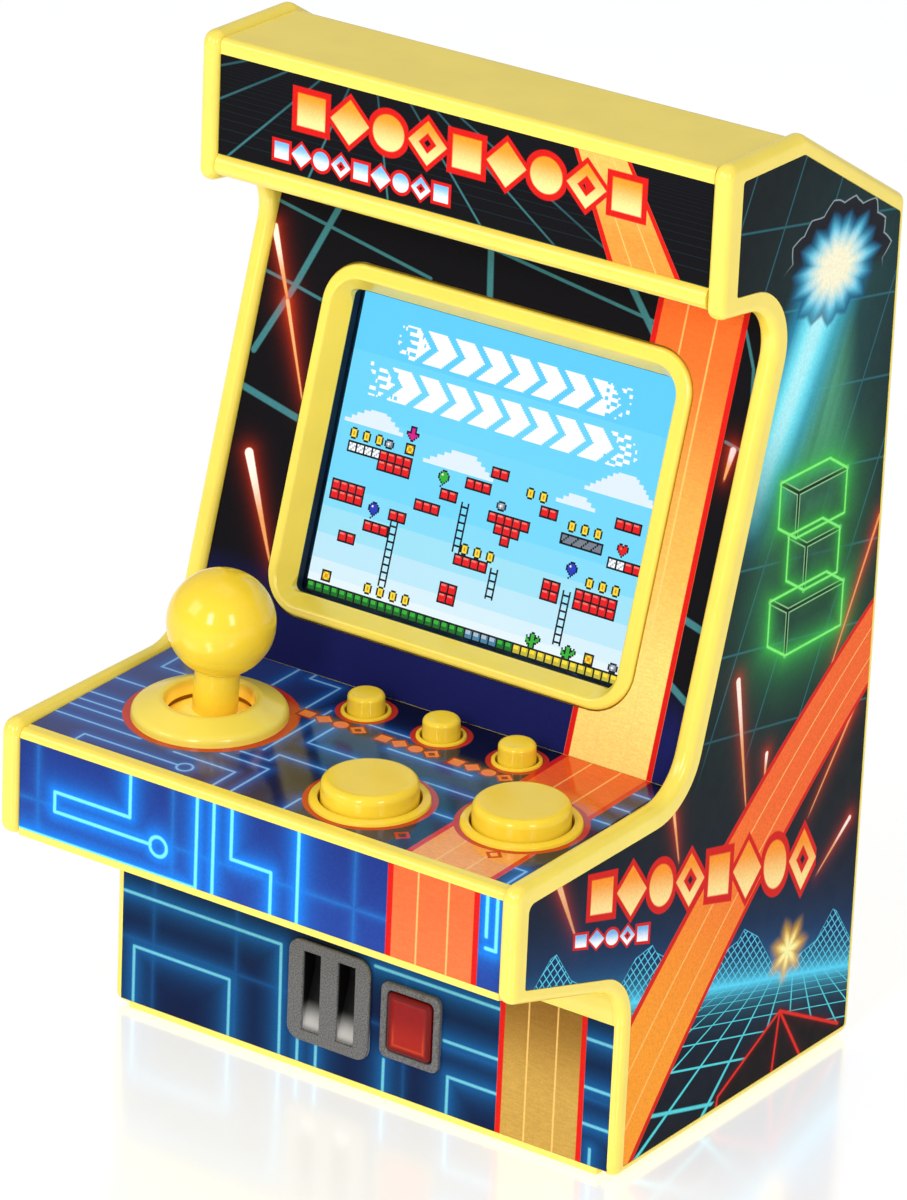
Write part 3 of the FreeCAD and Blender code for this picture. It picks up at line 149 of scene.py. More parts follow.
def noise(tree, feature_mm, detail=2.0, roughness=0.5, stretch=(1, 1, 1)):
    """Soft noise whose blobs are about feature_mm across."""
    place = Field(tree, tree.nodes.new("ShaderNodeTexCoord").outputs["Object"])
    node = tree.nodes.new("ShaderNodeTexNoise")
    wire(tree, place.vector("MULTIPLY", tuple(PER_M * s / feature_mm for s in stretch)), node.inputs["Vector"])
    node.inputs["Scale"].default_value = 1.0
    node.inputs["Detail"].default_value = detail
    node.inputs["Roughness"].default_value = roughness
    return Field(tree, node.outputs["Fac"])


def noise_at(tree, value):
    """Soft noise along one number."""
    node = tree.nodes.new("ShaderNodeTexNoise")
    node.noise_dimensions = "1D"
    wire(tree, value, node.inputs["W"])
    node.inputs["Scale"].default_value = 1.0
    return Field(tree, node.outputs["Fac"])


def segment(p, start, end):
    """Distance from p to a straight stretch, and how far along it p lies, from 0 to 1."""
    begin = Vector((*start, 0))
    run = Vector((*end, 0)) - begin
    offset = p.vector("SUBTRACT", tuple(begin))
    share = offset.vector("DOT_PRODUCT", tuple(run / run.length_squared), number=True)
    share = share.maths("ADD", 0.0, clamp=True)
    foot = p.tree.nodes.new("ShaderNodeVectorMath")
    foot.operation = "SCALE"
    foot.inputs[0].default_value = tuple(run)
    wire(p.tree, share, foot.inputs["Scale"])
    return offset.vector("DISTANCE", Field(p.tree, foot.outputs["Vector"]), number=True), share


def traces(p, paths):
    """Distance from p to the nearest of several bent lines."""
    nearest = None
    for path in paths:
        for start, end in zip(path, path[1:]):
            distance, _ = segment(p, start, end)
            nearest = distance if nearest is None else nearest.maths("MINIMUM", distance)
    return nearest


def from_point(p, place):
    return p.vector("DISTANCE", (*place, 0), number=True)


def within(distance, reach, softness=0.08):
    """1 inside reach, 0 outside it."""
    return distance.ramp(reach + softness, reach - softness)


def fading(distance, reach):
    """1 on a line, falling away round it."""
    return distance.maths("MULTIPLY", -1 / reach).maths("EXPONENT")


def near(value, target, half_width, softness=0.06):
    """1 where value is within half_width of target."""
    return within((value - target).maths("ABSOLUTE"), half_width, softness)


class Paint:
    """A colour with further layers laid over it."""

    def __init__(self, tree, colour):
        self.tree = tree
        self.colour = colour

    def lay(self, amount, colour, blend="MIX"):
        node = self.tree.nodes.new("ShaderNodeMix")
        node.data_type = "RGBA"
        node.blend_type = blend
        factor, below, above = node.inputs[0], node.inputs[6], node.inputs[7]
        wire(self.tree, amount, factor)
        wire(self.tree, self.colour, below)
        wire(self.tree, colour, above)
        self.colour = Field(self.tree, node.outputs[2])
        return self

    def grain(self, amount, feature_mm=0.35, stretch=(1, 1, 1)):
        """Mottle the colour a little, as ink on film does."""
        speck = noise(self.tree, feature_mm, stretch=stretch).ramp(0.3, 0.7, 1 - amount, 1 + amount)
        grey = self.tree.nodes.new("ShaderNodeCombineColor")
        for socket in grey.inputs:
            wire(self.tree, speck, socket)
        return self.lay(1.0, Field(self.tree, grey.outputs[0]), "MULTIPLY")


# ---------------------------------------------------------------- materials
def material(name, roughness, specular=0.5, metallic=0.0):
    made = bpy.data.materials.new(name)
    made.use_nodes = True
    shader = made.node_tree.nodes["Principled BSDF"]
    shader.inputs["Roughness"].default_value = roughness
    shader.inputs["Specular IOR Level"].default_value = specular
    shader.inputs["Metallic"].default_value = metallic
    return made, made.node_tree, shader


def bump(tree, shader, height, strength, distance_mm):
    node = tree.nodes.new("ShaderNodeBump")
    node.inputs["Strength"].default_value = strength
    node.inputs["Distance"].default_value = distance_mm * MM
    wire(tree, height, node.inputs["Height"])
    tree.links.new(node.outputs[0], shader.inputs["Normal"])


def moulded_plastic(name, colour, roughness=0.3, texture_mm=0.5, texture=0.05, specular=0.5):
    """Injection-moulded plastic: cloudy colour, uneven gloss and a faint tool texture."""
    made, tree, shader = material(name, roughness, specular)
    cloud = noise(tree, 9.0, detail=3.0)
    darker = tuple(0.95 * c for c in colour[:3]) + (1.0,)
    paint = Paint(tree, darker).lay(cloud.ramp(0.3, 0.7), colour)
    wire(tree, paint.colour, shader.inputs["Base Color"])
    gloss = noise(tree, 2.5, detail=2.0).ramp(0.25, 0.75, roughness * 0.92, roughness * 1.1)
    wire(tree, gloss, shader.inputs["Roughness"])
    bump(tree, shader, noise(tree, texture_mm, detail=1.0), texture, 0.01)
    return made


def printed(name, paint_function, surface, roughness=0.42, specular=0.04):
    """A printed film: its own picture, fine paper grain and a slightly uneven gloss."""
    made, tree, shader = material(name, roughness, specular)
    u, v = surface_fields(tree, *surface)
    paint = paint_function(tree, u, v)
    paint.grain(0.06)
    wire(tree, paint.colour, shader.inputs["Base Color"])
    gloss = noise(tree, 3.0, detail=3.0).ramp(0.3, 0.7, roughness * 0.9, roughness * 1.1)
    wire(tree, gloss, shader.inputs["Roughness"])
    bump(tree, shader, noise(tree, 0.25), 0.05, 0.01)
    return made


def metal(name, colour, roughness=0.3, brush=(1, 1, 12)):
    made, tree, shader = material(name, roughness, metallic=1.0)
    streaks = noise(tree, 0.8, detail=4.0, stretch=brush)
    dark = tuple(0.75 * c for c in colour[:3]) + (1.0,)
    wire(tree, Paint(tree, dark).lay(streaks.ramp(0.3, 0.7), colour).colour, shader.inputs["Base Color"])
    wire(tree, streaks.ramp(0.2, 0.8, roughness * 0.7, roughness * 1.3), shader.inputs["Roughness"])
    bump(tree, shader, streaks, 0.1, 0.01)
    return made


def dress(node_names, made):
    for name in node_names:
        for slot in NODES[name].material_slots:
            slot.material = made


# ---------------------------------------------------------------- printed surfaces
def leaning_surface(node_name):
    """Origin on the lower front edge, across to the right, up the slope."""
    low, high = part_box(node_name)
    up = Vector((0, high.y - low.y, high.z - low.z)).normalized()
    return Vector((0, low.y, low.z)), Vector((1, 0, 0)), up


def upright_surface(node_name):
    low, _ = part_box(node_name)
    return Vector((0, low.y, low.z)), Vector((1, 0, 0)), Vector((0, 0, 1))


# The side prints measure from where the lower front wall meets the base.
wall_low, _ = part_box("lower_front_panel")
base_low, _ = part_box("left_side_panel")
SIDE_SURFACE = (Vector((0, wall_low.y, base_low.z)), Vector((0, 1, 0)), Vector((0, 0, 1)))
SCREEN_SURFACE = leaning_surface("screen_overlay")
SCREEN_SURFACE[0].z += 0.3 * MM  # seen against the photograph
DECK_SURFACE = leaning_surface("deck_overlay")
MARQUEE_SURFACE = upright_surface("marquee_panel")
APRON_SURFACE = upright_surface("apron_panel")
FRONT_SURFACE = upright_surface("lower_front_panel")

STRIPE_LEFT, STRIPE_RIGHT = 24.4, 39.6
STICK_PLACE = (-24.0, 18.7)  # the joystick's middle on the deck


def stripe(paint, across, fill, border=0.06):
    """A band with red borders and two thin pale lines. across runs from 0 to 1 over the band."""
    tree = paint.tree
    inside = across.ramp(-0.004, 0.004) * across.ramp(1.004, 0.996)
    body_colour = Paint(tree, fill).grain(0.06, 0.4, stretch=(0.3, 1, 1.6)).colour
    paint.lay(inside, body_colour)
    for third in (1 / 3, 2 / 3):
        paint.lay(near(across, third, 0.009, 0.006) * inside * 0.7, PALE_STRIPE_LINE)
    edge = (across - 0.5).maths("ABSOLUTE").ramp(0.5 - border - 0.006, 0.5 - border + 0.006)
    paint.lay(edge * inside, RED_INK)
    return paint


def upright_stripe(paint, u, fill, left=STRIPE_LEFT, right=STRIPE_RIGHT):
    return stripe(paint, (u - left) * (1 / (right - left)), fill)


def neon(paint, distance, halo_mm=1.5, core_mm=0.28, core=NEON, halo=NEON_HALO, strength=1.0):
    """A glowing line: a wide halo, a tight one, and a bright core."""
    paint.lay(fading(distance, halo_mm) * strength, halo)
    paint.lay(fading(distance, halo_mm * 0.35) * 0.8 * strength, halo)
    return paint.lay(within(distance, core_mm, 0.16) * strength, core)


def streak(paint, p, head, tail, head_mm, head_colour=srgb(255, 240, 225), glow=srgb(225, 60, 20)):
    """A spark that tapers from its head to its tail, with a red glow round it."""
    distance, share = segment(p, head, tail)
    fade = share.ramp(0.0, 1.0, 1.0, 0.25, smooth=False)
    paint.lay(fading(distance, 0.9) * fade * 0.8, glow)
    width = share.ramp(0.0, 1.0, head_mm, 0.12, smooth=False)
    core = (width - distance).ramp(-0.12, 0.12)
    hue = Paint(paint.tree, head_colour).lay(share.ramp(0.1, 0.6), srgb(238, 160, 96)).colour
    return paint.lay(core * share.ramp(0.9, 1.0, 1.0, 0.2), hue)


def symbols(paint, along, rise, count, low_fill, high_fill, edge=RED_INK):
    """A row of plain shapes with a wide outline. along and rise run from 0 to 1 over the row."""
    height = rise - 0.5
    cell = along * float(count)
    side = cell.maths("FRACT") - 0.5
    across, tall = side.maths("ABSOLUTE"), height.maths("ABSOLUTE")
    number = cell.maths("FLOOR")
    kind = number.maths("FLOORED_MODULO", 4.0)
    row = near(number, (count - 1) / 2, (count - 0.5) / 2, 0.1)
    far = (side * side + height * height).maths("SQRT")
    block = across.maths("MAXIMUM", tall) - 0.36
    disc = far - 0.4
    diamond = across + tall - 0.5
    frame_shape = (across + tall - 0.36).maths("ABSOLUTE") - 0.13
    chosen = None
    for order, shape in enumerate((block, diamond, disc, frame_shape)):
        share = shape * near(kind, float(order), 0.5, 0.01)
        chosen = share if chosen is None else chosen + share
    ink = Paint(paint.tree, low_fill).lay(rise.ramp(0.15, 0.85), high_fill).colour
    paint.lay(chosen.ramp(0.16, 0.13) * row, edge)
    return paint.lay(chosen.ramp(0.02, -0.02) * row, ink)


LARGE_ROW_LOW, LARGE_ROW_HIGH = srgb(255, 226, 150), srgb(252, 150, 40)
SMALL_ROW_LOW, SMALL_ROW_HIGH = srgb(255, 255, 255), srgb(110, 180, 235)


def screen_print(tree, u, v):
    p = point(tree, u, v)
    paint = Paint(tree, INK_BLACK).lay(v.ramp(15, 6), srgb(24, 28, 86))
    wide = traces(p, [[(-31.5, 69), (-37, 54.6), (-42, 43.7)], [(-5.2, 69), (-3.3, 60)], [(18.4, 69), (25.4, 61.4)],
                      [(-43, 38.1), (-31, 35.4)], [(39.5, 23.7), (44, 22.5)], [(39.5, 14), (44, 11.4)]])
    paint.lay(within(wide, 0.52, 0.15), TEAL)
    thin = traces(p, [[(-43, 66.2), (-14, 61)], [(-37, 54.6), (-31, 53.4)], [(-43, 55.6), (-37, 54.6)],
                      [(-4.2, 67.6), (24.5, 63.7)], [(40, 49.9), (45, 48.8)], [(39.5, 66), (42, 61), (43, 55)]])
    paint.lay(within(thin, 0.24, 0.1) * 0.9, TEAL)
    streak(paint, p, (-42.6, 62.2), (-36.8, 50), 0.55)
    streak(paint, p, (-37.8, 52), (-31.4, 37.5), 0.32, head_colour=srgb(246, 180, 120))
    streak(paint, p, (-39.2, 28.6), (-31.3, 12.8), 0.75)
    streak(paint, p, (41.5, 49), (41, 44.4), 0.5, head_colour=srgb(225, 200, 200))
    lower = Paint(tree, srgb(255, 214, 118)).lay(v.ramp(12, 34), srgb(250, 178, 84))
    fill = lower.lay(v.ramp(30, 62), srgb(247, 112, 46)).colour
    return upright_stripe(paint, u, fill)


def fan_print(tree, u, v):
    """The marquee: a floor grid that runs to a vanishing point, and a slanting stripe."""
    vanish_u, vanish_v = -16.0, 23.5
    paint = Paint(tree, INK_BLACK)
    p = point(tree, u, v)
    rays = [[(vanish_u, vanish_v), (foot, -1.5)] for foot in (-82, -60, -42.5, -27, -12, 5.2, 18.8, 31)]
    shade = v.ramp(15, 2, 0.45, 1.0)
    paint.lay(within(traces(p, rays), 0.16, 0.1) * shade * u.ramp(22, 8, 0.35, 0.9), TEAL)
    depth = (vanish_v - v).maths("DIVIDE", 26.0)
    rungs = depth.maths("POWER", -1.0) * 9.0
    rung_distance = rungs.maths("PINGPONG", 0.5)
    paint.lay(rung_distance.ramp(0.06, 0.0) * 0.3, DEEP_TEAL)
    left = v * -0.43 + 25.7
    width = v * -0.17 + 12.2
    fill = Paint(tree, srgb(246, 150, 62)).lay(v.ramp(3, 14), srgb(250, 186, 92)).colour
    stripe(paint, (u - left) / width, fill, border=0.075)
    symbols(paint, (u + 29.6) / 61.4, (v - 6.6) / 6.8, 9, LARGE_ROW_LOW, LARGE_ROW_HIGH)
    return symbols(paint, (u + 33.0) / 31.7, (v - 1.3) / 3.5, 9, SMALL_ROW_LOW, SMALL_ROW_HIGH)


def deck_print(tree, u, v):
    p = point(tree, u, v)
    # Painted reflection: the navy ground lightens to a paler blue towards the left.
    paint = Paint(tree, srgb(13, 17, 46)).lay(u.ramp(-6, -28), srgb(40, 58, 126))
    paint.lay(v.ramp(12, 0) * 0.4, srgb(40, 44, 96))
    lines = traces(p, [
        [(-39.5, 34), (-39.5, 27), (-34, 27)], [(-43, 19.9), (-36, 19.9)], [(-43, 13.9), (-36.5, 13.9)],
        [(-43, 11.2), (-34.5, 11.2)], [(-43, 9), (-32, 9)], [(-43, 5.7), (-27, 5.7)],
        [(-34.4, -1), (-34.4, 2.1), (-17.6, 2.1)], [(-20.5, 5.2), (-9.5, 5.2), (-9.5, -1)],
        [(-14.8, 8.9), (-6.3, 8.9), (-6.3, -1)], [(-13, 11.2), (-7.9, 11.2), (-7.9, 13.6), (1.2, 13.6)],
        [(-10.7, 13.6), (-10.7, 30)], [(-22.8, 31.4), (-22.8, 39)],
        [(-19.7, 39.5), (-19.7, 37), (-14.2, 37), (-14.2, 27.5)], [(-7, 26), (-7, 19.3), (4.5, 19.3)],
        [(-4, 29.6), (7.6, 29.6)], [(3.3, 24.8), (18, 24.8)], [(13.7, 19.1), (22.6, 19.1)],
        [(19, 11.8), (23.8, 11.8)], [(3, -1), (3, 4)], [(39.8, 28.8), (43, 28.8)],
        [(39.8, 23.8), (43, 23.8)], [(39.8, 4.6), (41.6, 4.6), (41.6, 0)], [(39.8, 34), (43, 34)]])
    lines = lines.maths("MINIMUM", (from_point(p, (-16.2, 2.1)) - 1.2).maths("ABSOLUTE"))
    neon(paint, lines, halo_mm=1.0, core_mm=0.17, core=srgb(150, 210, 245), halo=srgb(28, 100, 200), strength=0.8)
    fill = Paint(tree, srgb(244, 158, 74)).lay(v.ramp(4, 34), srgb(232, 92, 34)).colour
    upright_stripe(paint, u, fill)
    # Red discs round the stick, the two large buttons and the three small ones.
    discs = from_point(p, STICK_PLACE) - 13.0
    for place in ((11.1, 9.7), (32.5, 16.6)):
        discs = discs.maths("MINIMUM", from_point(p, place) - 9.7)
    for place in ((-6.6, 33.1), (7.0, 32.9), (20.4, 32.8)):
        discs = discs.maths("MINIMUM", from_point(p, place) - 4.6)
    paint.lay(within(discs, 0.0), srgb(196, 50, 22))
    for left, right in ((-14.4, -2.2), (-0.6, 10.8), (12.3, 23.6)):
        along = (u - left) * (1 / (right - left))
        symbols(paint, along, (v - 25.8) / 2.6, 4, srgb(232, 112, 52), srgb(238, 124, 60), edge=srgb(140, 20, 18))
    for place in ((21.3, 3.3), (35.0, 6.2)):
        mark = p.vector("SUBTRACT", (*place, 0)).vector("ABSOLUTE").vector("DOT_PRODUCT", (1, 1, 0), number=True)
        paint.lay(within((mark - 1.1).maths("ABSOLUTE"), 0.36, 0.1), srgb(196, 26, 20))
    return paint


def apron_print(tree, u, v):
    p = point(tree, u, v)
    paint = Paint(tree, srgb(38, 66, 148)).lay(v.ramp(0, 15), srgb(32, 54, 128))
    faint = (v - 5.3).maths("ABSOLUTE")
    for column in (-39.2, -14.7, 17.5):
        faint = faint.maths("MINIMUM", (u - column).maths("ABSOLUTE"))
    paint.lay(fading(faint, 0.5) * 0.5, srgb(40, 130, 215))
    lines = traces(p, [
        [(-22.4, 15), (-22.4, 7.6), (-36.1, 7.6), (-36.1, 4.5), (-18.6, 4.5)],
        [(-10.4, 15), (-10.4, 0), (-43, 0)], [(-7.4, 15), (-7.4, -1)],
        [(-4.2, 15), (-4.2, 6.5), (2.9, 6.5), (2.9, -1)], [(7.6, 15), (7.6, -1)],
        [(40.1, 6.2), (41.8, 6.2), (41.8, 15)], [(40.1, 15), (40.1, 8)]])
    lines = lines.maths("MINIMUM", (from_point(p, (-17.2, 4.5)) - 1.5).maths("ABSOLUTE"))
    neon(paint, lines, halo_mm=1.5, core_mm=0.26, core=srgb(120, 235, 255), halo=srgb(24, 130, 240))
    fill = Paint(tree, srgb(244, 116, 66)).lay(v.ramp(0, 14), srgb(236, 106, 58)).colour
    return upright_stripe(paint, u, fill, 23.1, 38.8)


def front_print(tree, u, v):
    p = point(tree, u, v)
    # Painted shade: the whole print is darker than the same inks elsewhere, standing in for the shade under the deck's
    # overhang; the ground also darkens towards the top.
    paint = Paint(tree, srgb(12, 24, 60)).lay(v.ramp(10, 24), srgb(8, 13, 26))
    faint = (v - 10.6).maths("ABSOLUTE")
    for column in (-38.4, -23.0, 8.0, 30.0):
        faint = faint.maths("MINIMUM", (u - column).maths("ABSOLUTE"))
    paint.lay(fading(faint, 0.4) * 0.4, srgb(30, 100, 170))
    lines = traces(p, [
        [(-46, 18), (-14.8, 18), (-14.6, -2)], [(-42, -1), (-42, 9.3), (-24.1, 9.3), (-24.1, -1)],
        [(-11.3, 3.4), (-11.3, -2)], [(-7.9, 3.6), (-7.9, -2)], [(4.4, 5.2), (4.4, -2)],
        [(15.9, -2), (15.9, 6.1), (25, 6.1)], [(2.3, 19.8), (25, 19.8)], [(15, 11.7), (25, 11.7)],
        [(39, 20), (46, 20)], [(39, 12.3), (46, 12.3)], [(39, 6.4), (46, 6.4)], [(41.2, 2.6), (41.2, -2)]])
    neon(paint, lines, halo_mm=1.9, core_mm=0.24, core=srgb(112, 200, 218), halo=srgb(22, 92, 156), strength=0.85)
    # The stripe darkens towards its top: a painted shadow under the deck.
    fill = Paint(tree, srgb(192, 152, 74)).lay(v.ramp(8, 23), srgb(142, 102, 42)).colour
    return upright_stripe(paint, u, fill, 24.6, 39.7)


def side_print(tree, u, v):
    p = point(tree, u, v)
    paint = Paint(tree, INK_BLACK)
    fog = traces(p, [[(52, 122), (40, 80)]])
    paint.lay(fading(fog, 16) * 0.75, srgb(34, 82, 84))
    # Two families of thin parallel lines.
    leaning = (u - v * 0.5 + 50.9).maths("PINGPONG", 6.45)
    level = (v + u * 0.17 - 40.3).maths("PINGPONG", 6.4)
    grid_lines = leaning.maths("MINIMUM", level)
    above = (v + u * 0.27).ramp(58, 74)
    paint.lay(within(grid_lines, 0.16, 0.12) * above * 0.75, srgb(46, 110, 122))
    # A soft cone of light, then the bright beam in it.
    cone, along = segment(p, (44, 126), (40, 76))
    cone_width = along.ramp(0, 1, 8, 19, smooth=False)
    rays = (u - v * 0.42).maths("MULTIPLY", 0.5)
    rays = noise_at(tree, rays).ramp(0.3, 0.7, 0.7, 1.0)
    in_cone = (cone / cone_width).ramp(1.0, 0.2) * along.ramp(1.05, 0.3) * rays
    paint.lay(in_cone * 0.85, srgb(86, 168, 130))
    beam, along = segment(p, (45.0, 127), (27.0, 96.5))
    beam_width = along.ramp(0, 1, 6.2, 6.0, smooth=False)
    strength = along.ramp(1.2, 0.55)
    paint.lay((beam / (beam_width * 1.8)).ramp(1.0, 0.2) * strength * 0.85, srgb(44, 172, 214))
    paint.lay((beam / beam_width).ramp(1.0, 0.3) * strength, srgb(122, 236, 250))
    paint.lay((beam / beam_width).ramp(0.5, 0.1) * strength * 0.5, srgb(214, 252, 252))
    # The burst the beam comes from, with a rim of dark splinters.
    across, rise = (u - 45.0) * 0.8, (v - 127.6) * 1.12
    turn = rise.maths("ARCTAN2", across)
    teeth = (turn * (15 / math.tau)).maths("PINGPONG", 0.5) * 3.4 + (turn * (8 / math.tau)).maths("PINGPONG", 0.5) * 2.0
    burst = (across * across + rise * rise).maths("SQRT")
    crown = (rise + across * 0.3).ramp(-1, 3)
    paint.lay((burst + teeth * 0.7).ramp(12.2, 11.9) * crown, srgb(24, 27, 36))
    paint.lay(near(burst + teeth * 0.7, 12.0, 0.1, 0.14) * crown * 0.8, srgb(176, 196, 204))
    paint.lay((burst + teeth * 0.9).ramp(10.4, 9.4) * 0.8, srgb(22, 84, 124))
    paint.lay((burst + teeth).ramp(10.0, 6.2), srgb(96, 210, 242))
    paint.lay((burst + teeth * 0.5).ramp(7.8, 3.0), srgb(255, 249, 216))
    # A stack of plain wire boxes in green light.
    rims, inner = [], []
    for left, low, wide in ((38, 70, 15), (42, 79, 9), (39, 88, 13)):
        front = [(left, low), (left + wide, low), (left + wide, low + 7), (left, low + 7)]
        behind = [(x - 5, y + 3) for x, y in front]
        rims.append([*front[:3], behind[2], behind[3], behind[0], front[0]])
        inner += [[front[0], front[3], front[2]], [front[3], behind[3]]]
    outline, edges = traces(p, rims), traces(p, inner)
    both = outline.maths("MINIMUM", edges)
    paint.lay(fading(outline, 3.2) * 0.6, srgb(60, 170, 80))
    paint.lay(fading(both, 4.5) * 0.75 * from_point(p, (43.5, 84.0)).ramp(15, 9), srgb(26, 40, 36))
    paint.lay(within(edges, 0.34, 0.1), srgb(10, 18, 16))
    paint.lay(within((edges - 0.36).maths("ABSOLUTE"), 0.09, 0.1), srgb(150, 210, 150))
    paint.lay(fading(outline, 0.9) * 0.7, srgb(60, 200, 70))
    paint.lay(within(outline, 0.2, 0.12), srgb(130, 245, 120))
    # Sparks.
    streak(paint, p, (25.7, 70), (30, 48), 0.55)
    streak(paint, p, (34.7, 55.6), (34.4, 51), 0.4)
    streak(paint, p, (10.4, 55), (12.6, 46), 0.35, head_colour=srgb(250, 190, 130))
    streak(paint, p, (-18.5, 54), (-13, 43), 0.6, head_colour=srgb(250, 190, 130))
    streak(paint, p, (59.4, 36.8), (50.8, 30.4), 0.4)
    streak(paint, p, (62, 84.5), (50, 62), 0.3, head_colour=srgb(250, 150, 90))
    streak(paint, p, (58.5, 54.8), (47.4, 41), 0.28, head_colour=srgb(250, 150, 90))
    # Hills and a floor grid that meet on a tilted horizon.
    height = v + u * 0.27 - 28.3
    paint.lay(fading(height.maths("ABSOLUTE"), 6.5) * 0.9, srgb(18, 88, 160))
    hill = (u + 5.6).maths("PINGPONG", 12.4) * 0.75 + (u + 3.0).maths("PINGPONG", 5.5) * 0.35
    is_hill = height.ramp(-0.1, 0.1) * (hill - height - 1.0).ramp(-0.1, 0.1)
    rising = (height - u * 0.8).maths("PINGPONG", 0.8)
    falling = (height + u * 1.1).maths("PINGPONG", 0.9)
    mesh = rising.maths("MINIMUM", falling).maths("MINIMUM", (hill - height - 1.0).maths("ABSOLUTE"))
    paint.lay(is_hill, srgb(10, 40, 84))
    paint.lay(is_hill * within(mesh, 0.12, 0.1), srgb(96, 214, 244))
    below = (0 - height).maths("MAXIMUM", 0.05)
    on_floor = height.ramp(0.05, -0.15)
    paint.lay(on_floor * 0.85, srgb(6, 16, 30))
    rungs = (below + 7.0).maths("POWER", -1.0) * 78.0
    spokes = (u - 46.0) / (below + 7.0) * 2.4
    rung_line = rungs.maths("PINGPONG", 0.5).ramp(0.055, 0.015)
    spoke_line = spokes.maths("PINGPONG", 0.5).ramp(0.055, 0.015)
    paint.lay(rung_line.maths("MAXIMUM", spoke_line) * on_floor, srgb(84, 216, 226))
    paint.lay(fading(height.maths("ABSOLUTE"), 1.6), srgb(90, 216, 250))
    # A flash on the horizon, over a red wire pyramid.
    pyramid = [[(27, 3), (43, 11), (60, 2.5)], [(43, 11), (41, -4)], [(27, 3), (25.5, -4)], [(43, 11), (53, -4)]]
    slopes = (u - 43.0).maths("ABSOLUTE") * -0.5 + 11.0
    paint.lay((slopes - v).ramp(-0.1, 0.1), srgb(16, 7, 10))
    neon(paint, traces(p, pyramid), halo_mm=0.5, core_mm=0.25, core=srgb(230, 40, 30), halo=srgb(90, 8, 8))
    flash_place = (44.2, 20.6)
    spread = p.vector("SUBTRACT", (*flash_place, 0))
    spread_up = spread.vector("DOT_PRODUCT", (0, 1, 0), number=True)
    spread_across = spread.vector("DOT_PRODUCT", (1, 0, 0), number=True)
    flash_turn = spread_up.maths("ARCTAN2", spread_across)
    flash = from_point(p, flash_place) + (flash_turn * (7 / math.tau)).maths("PINGPONG", 0.5) * 3.4 - 0.6
    paint.lay(flash.ramp(5.8, 2.0) * 0.9, srgb(236, 176, 40))
    paint.lay(flash.ramp(3.6, 1.0), srgb(255, 248, 170))
    # The broad stripe that climbs from the foot to the back edge, and the rows of shapes across it.
    top = u * 0.927 + u * u * -0.00242 + 23.35
    bottom = u * 1.272 + u * u * -0.00453 - 4.45
    fill = Paint(tree, srgb(252, 158, 46)).lay((u + v).ramp(20, 90), srgb(246, 106, 48)).colour
    stripe(paint, (v - bottom) / (top - bottom), fill)
    low_edge = u * -0.2733 + 42.2
    high_edge = u * -0.2251 + 50.1
    symbols(paint, (u + 11.0) / 61.5, (v - low_edge) / (high_edge - low_edge), 8, LARGE_ROW_LOW, LARGE_ROW_HIGH)
    low_edge = u * -0.3116 + 37.6
    high_edge = u * -0.2718 + 40.8
    return symbols(paint, (u + 14.0) / 20.0, (v - low_edge) / (high_edge - low_edge), 5, SMALL_ROW_LOW, SMALL_ROW_HIGH)


# ---------------------------------------------------------------- plastics, metals and rubber
yellow_shell = moulded_plastic("yellow_shell", YELLOW, roughness=0.23, specular=0.65)
dress(["left_side_panel", "right_side_panel", "roof_shell", "control_deck", "lower_front_shell", "screen_panel",
       "screen_bezel", "base_plate", "back_cover", "battery_door"], yellow_shell)
yellow_control = moulded_plastic("yellow_control", GOLD, roughness=0.14, texture_mm=1.2, texture=0.03, specular=0.4)
dress(["button_a_cap", "button_b_cap", "button_a_collar", "button_b_collar", "reset_button_cap",
       "start_button_cap", "volume_button_cap", "small_button_collars", "joystick_ball", "joystick_shaft"],
      yellow_control)


def painted_glow_plastic(name, depth_mm):
    """The same plastic, with a painted warm glow: an emission that brightens the shaded walls below the ring's mouth.
    """
    made = moulded_plastic(name, YELLOW, roughness=0.2, texture_mm=1.2, texture=0.03)
    tree = made.node_tree
    shader = next(node for node in tree.nodes if node.type == "BSDF_PRINCIPLED")
    origin, across, up = DECK_SURFACE
    u, v = surface_fields(tree, origin, across, up)
    height, _ = surface_fields(tree, origin, across.cross(up), up)
    # Painted light: amber emission on the walls below the mouth, where they would otherwise lie in shade.
    glow = from_point(point(tree, u, v), STICK_PLACE).ramp(8.6, 7.6) * height.ramp(2.4, depth_mm)
    wire(tree, glow * 0.42, shader.inputs["Emission Strength"])
    shader.inputs["Emission Color"].default_value = srgb(214, 138, 34)
    return made


dress(["joystick_ring"], painted_glow_plastic("ring_painted_glow", 1.2))
dress(["dust_dome"], painted_glow_plastic("dome_painted_glow", 2.0))
inner_black = moulded_plastic("inner_black", srgb(24, 24, 25), roughness=0.5)
dress(["battery_box", "speaker", "power_switch", "power_switch_slider", "joystick_housing", "gimbal_ring",
       "direction_switches"], inner_black)
dress(["display_gasket"], moulded_plastic("display_surround", srgb(16, 36, 60), roughness=0.6, specular=0.1))
dress(["rubber_feet"], moulded_plastic("foot_rubber", srgb(34, 34, 34), roughness=0.8, texture=0.3))
dome_rubber = moulded_plastic("grey_silicone", srgb(196, 196, 190), roughness=0.6, texture=0.2)
dress(["main_board", "control_board"], moulded_plastic("green_board", srgb(14, 84, 44), roughness=0.4))
dress(["ribbon_cable"], moulded_plastic("grey_ribbon", srgb(150, 150, 152), roughness=0.5))
dress(["case_screws", "main_board_screws", "control_board_screws"], metal("zinc_screws", srgb(176, 176, 172)))
dress(["battery_contacts", "battery_springs", "centring_spring"], metal("nickel_steel", srgb(200, 200, 194)))
dress(["battery_cells"], metal("cell_sleeve", srgb(96, 120, 110), roughness=0.35))

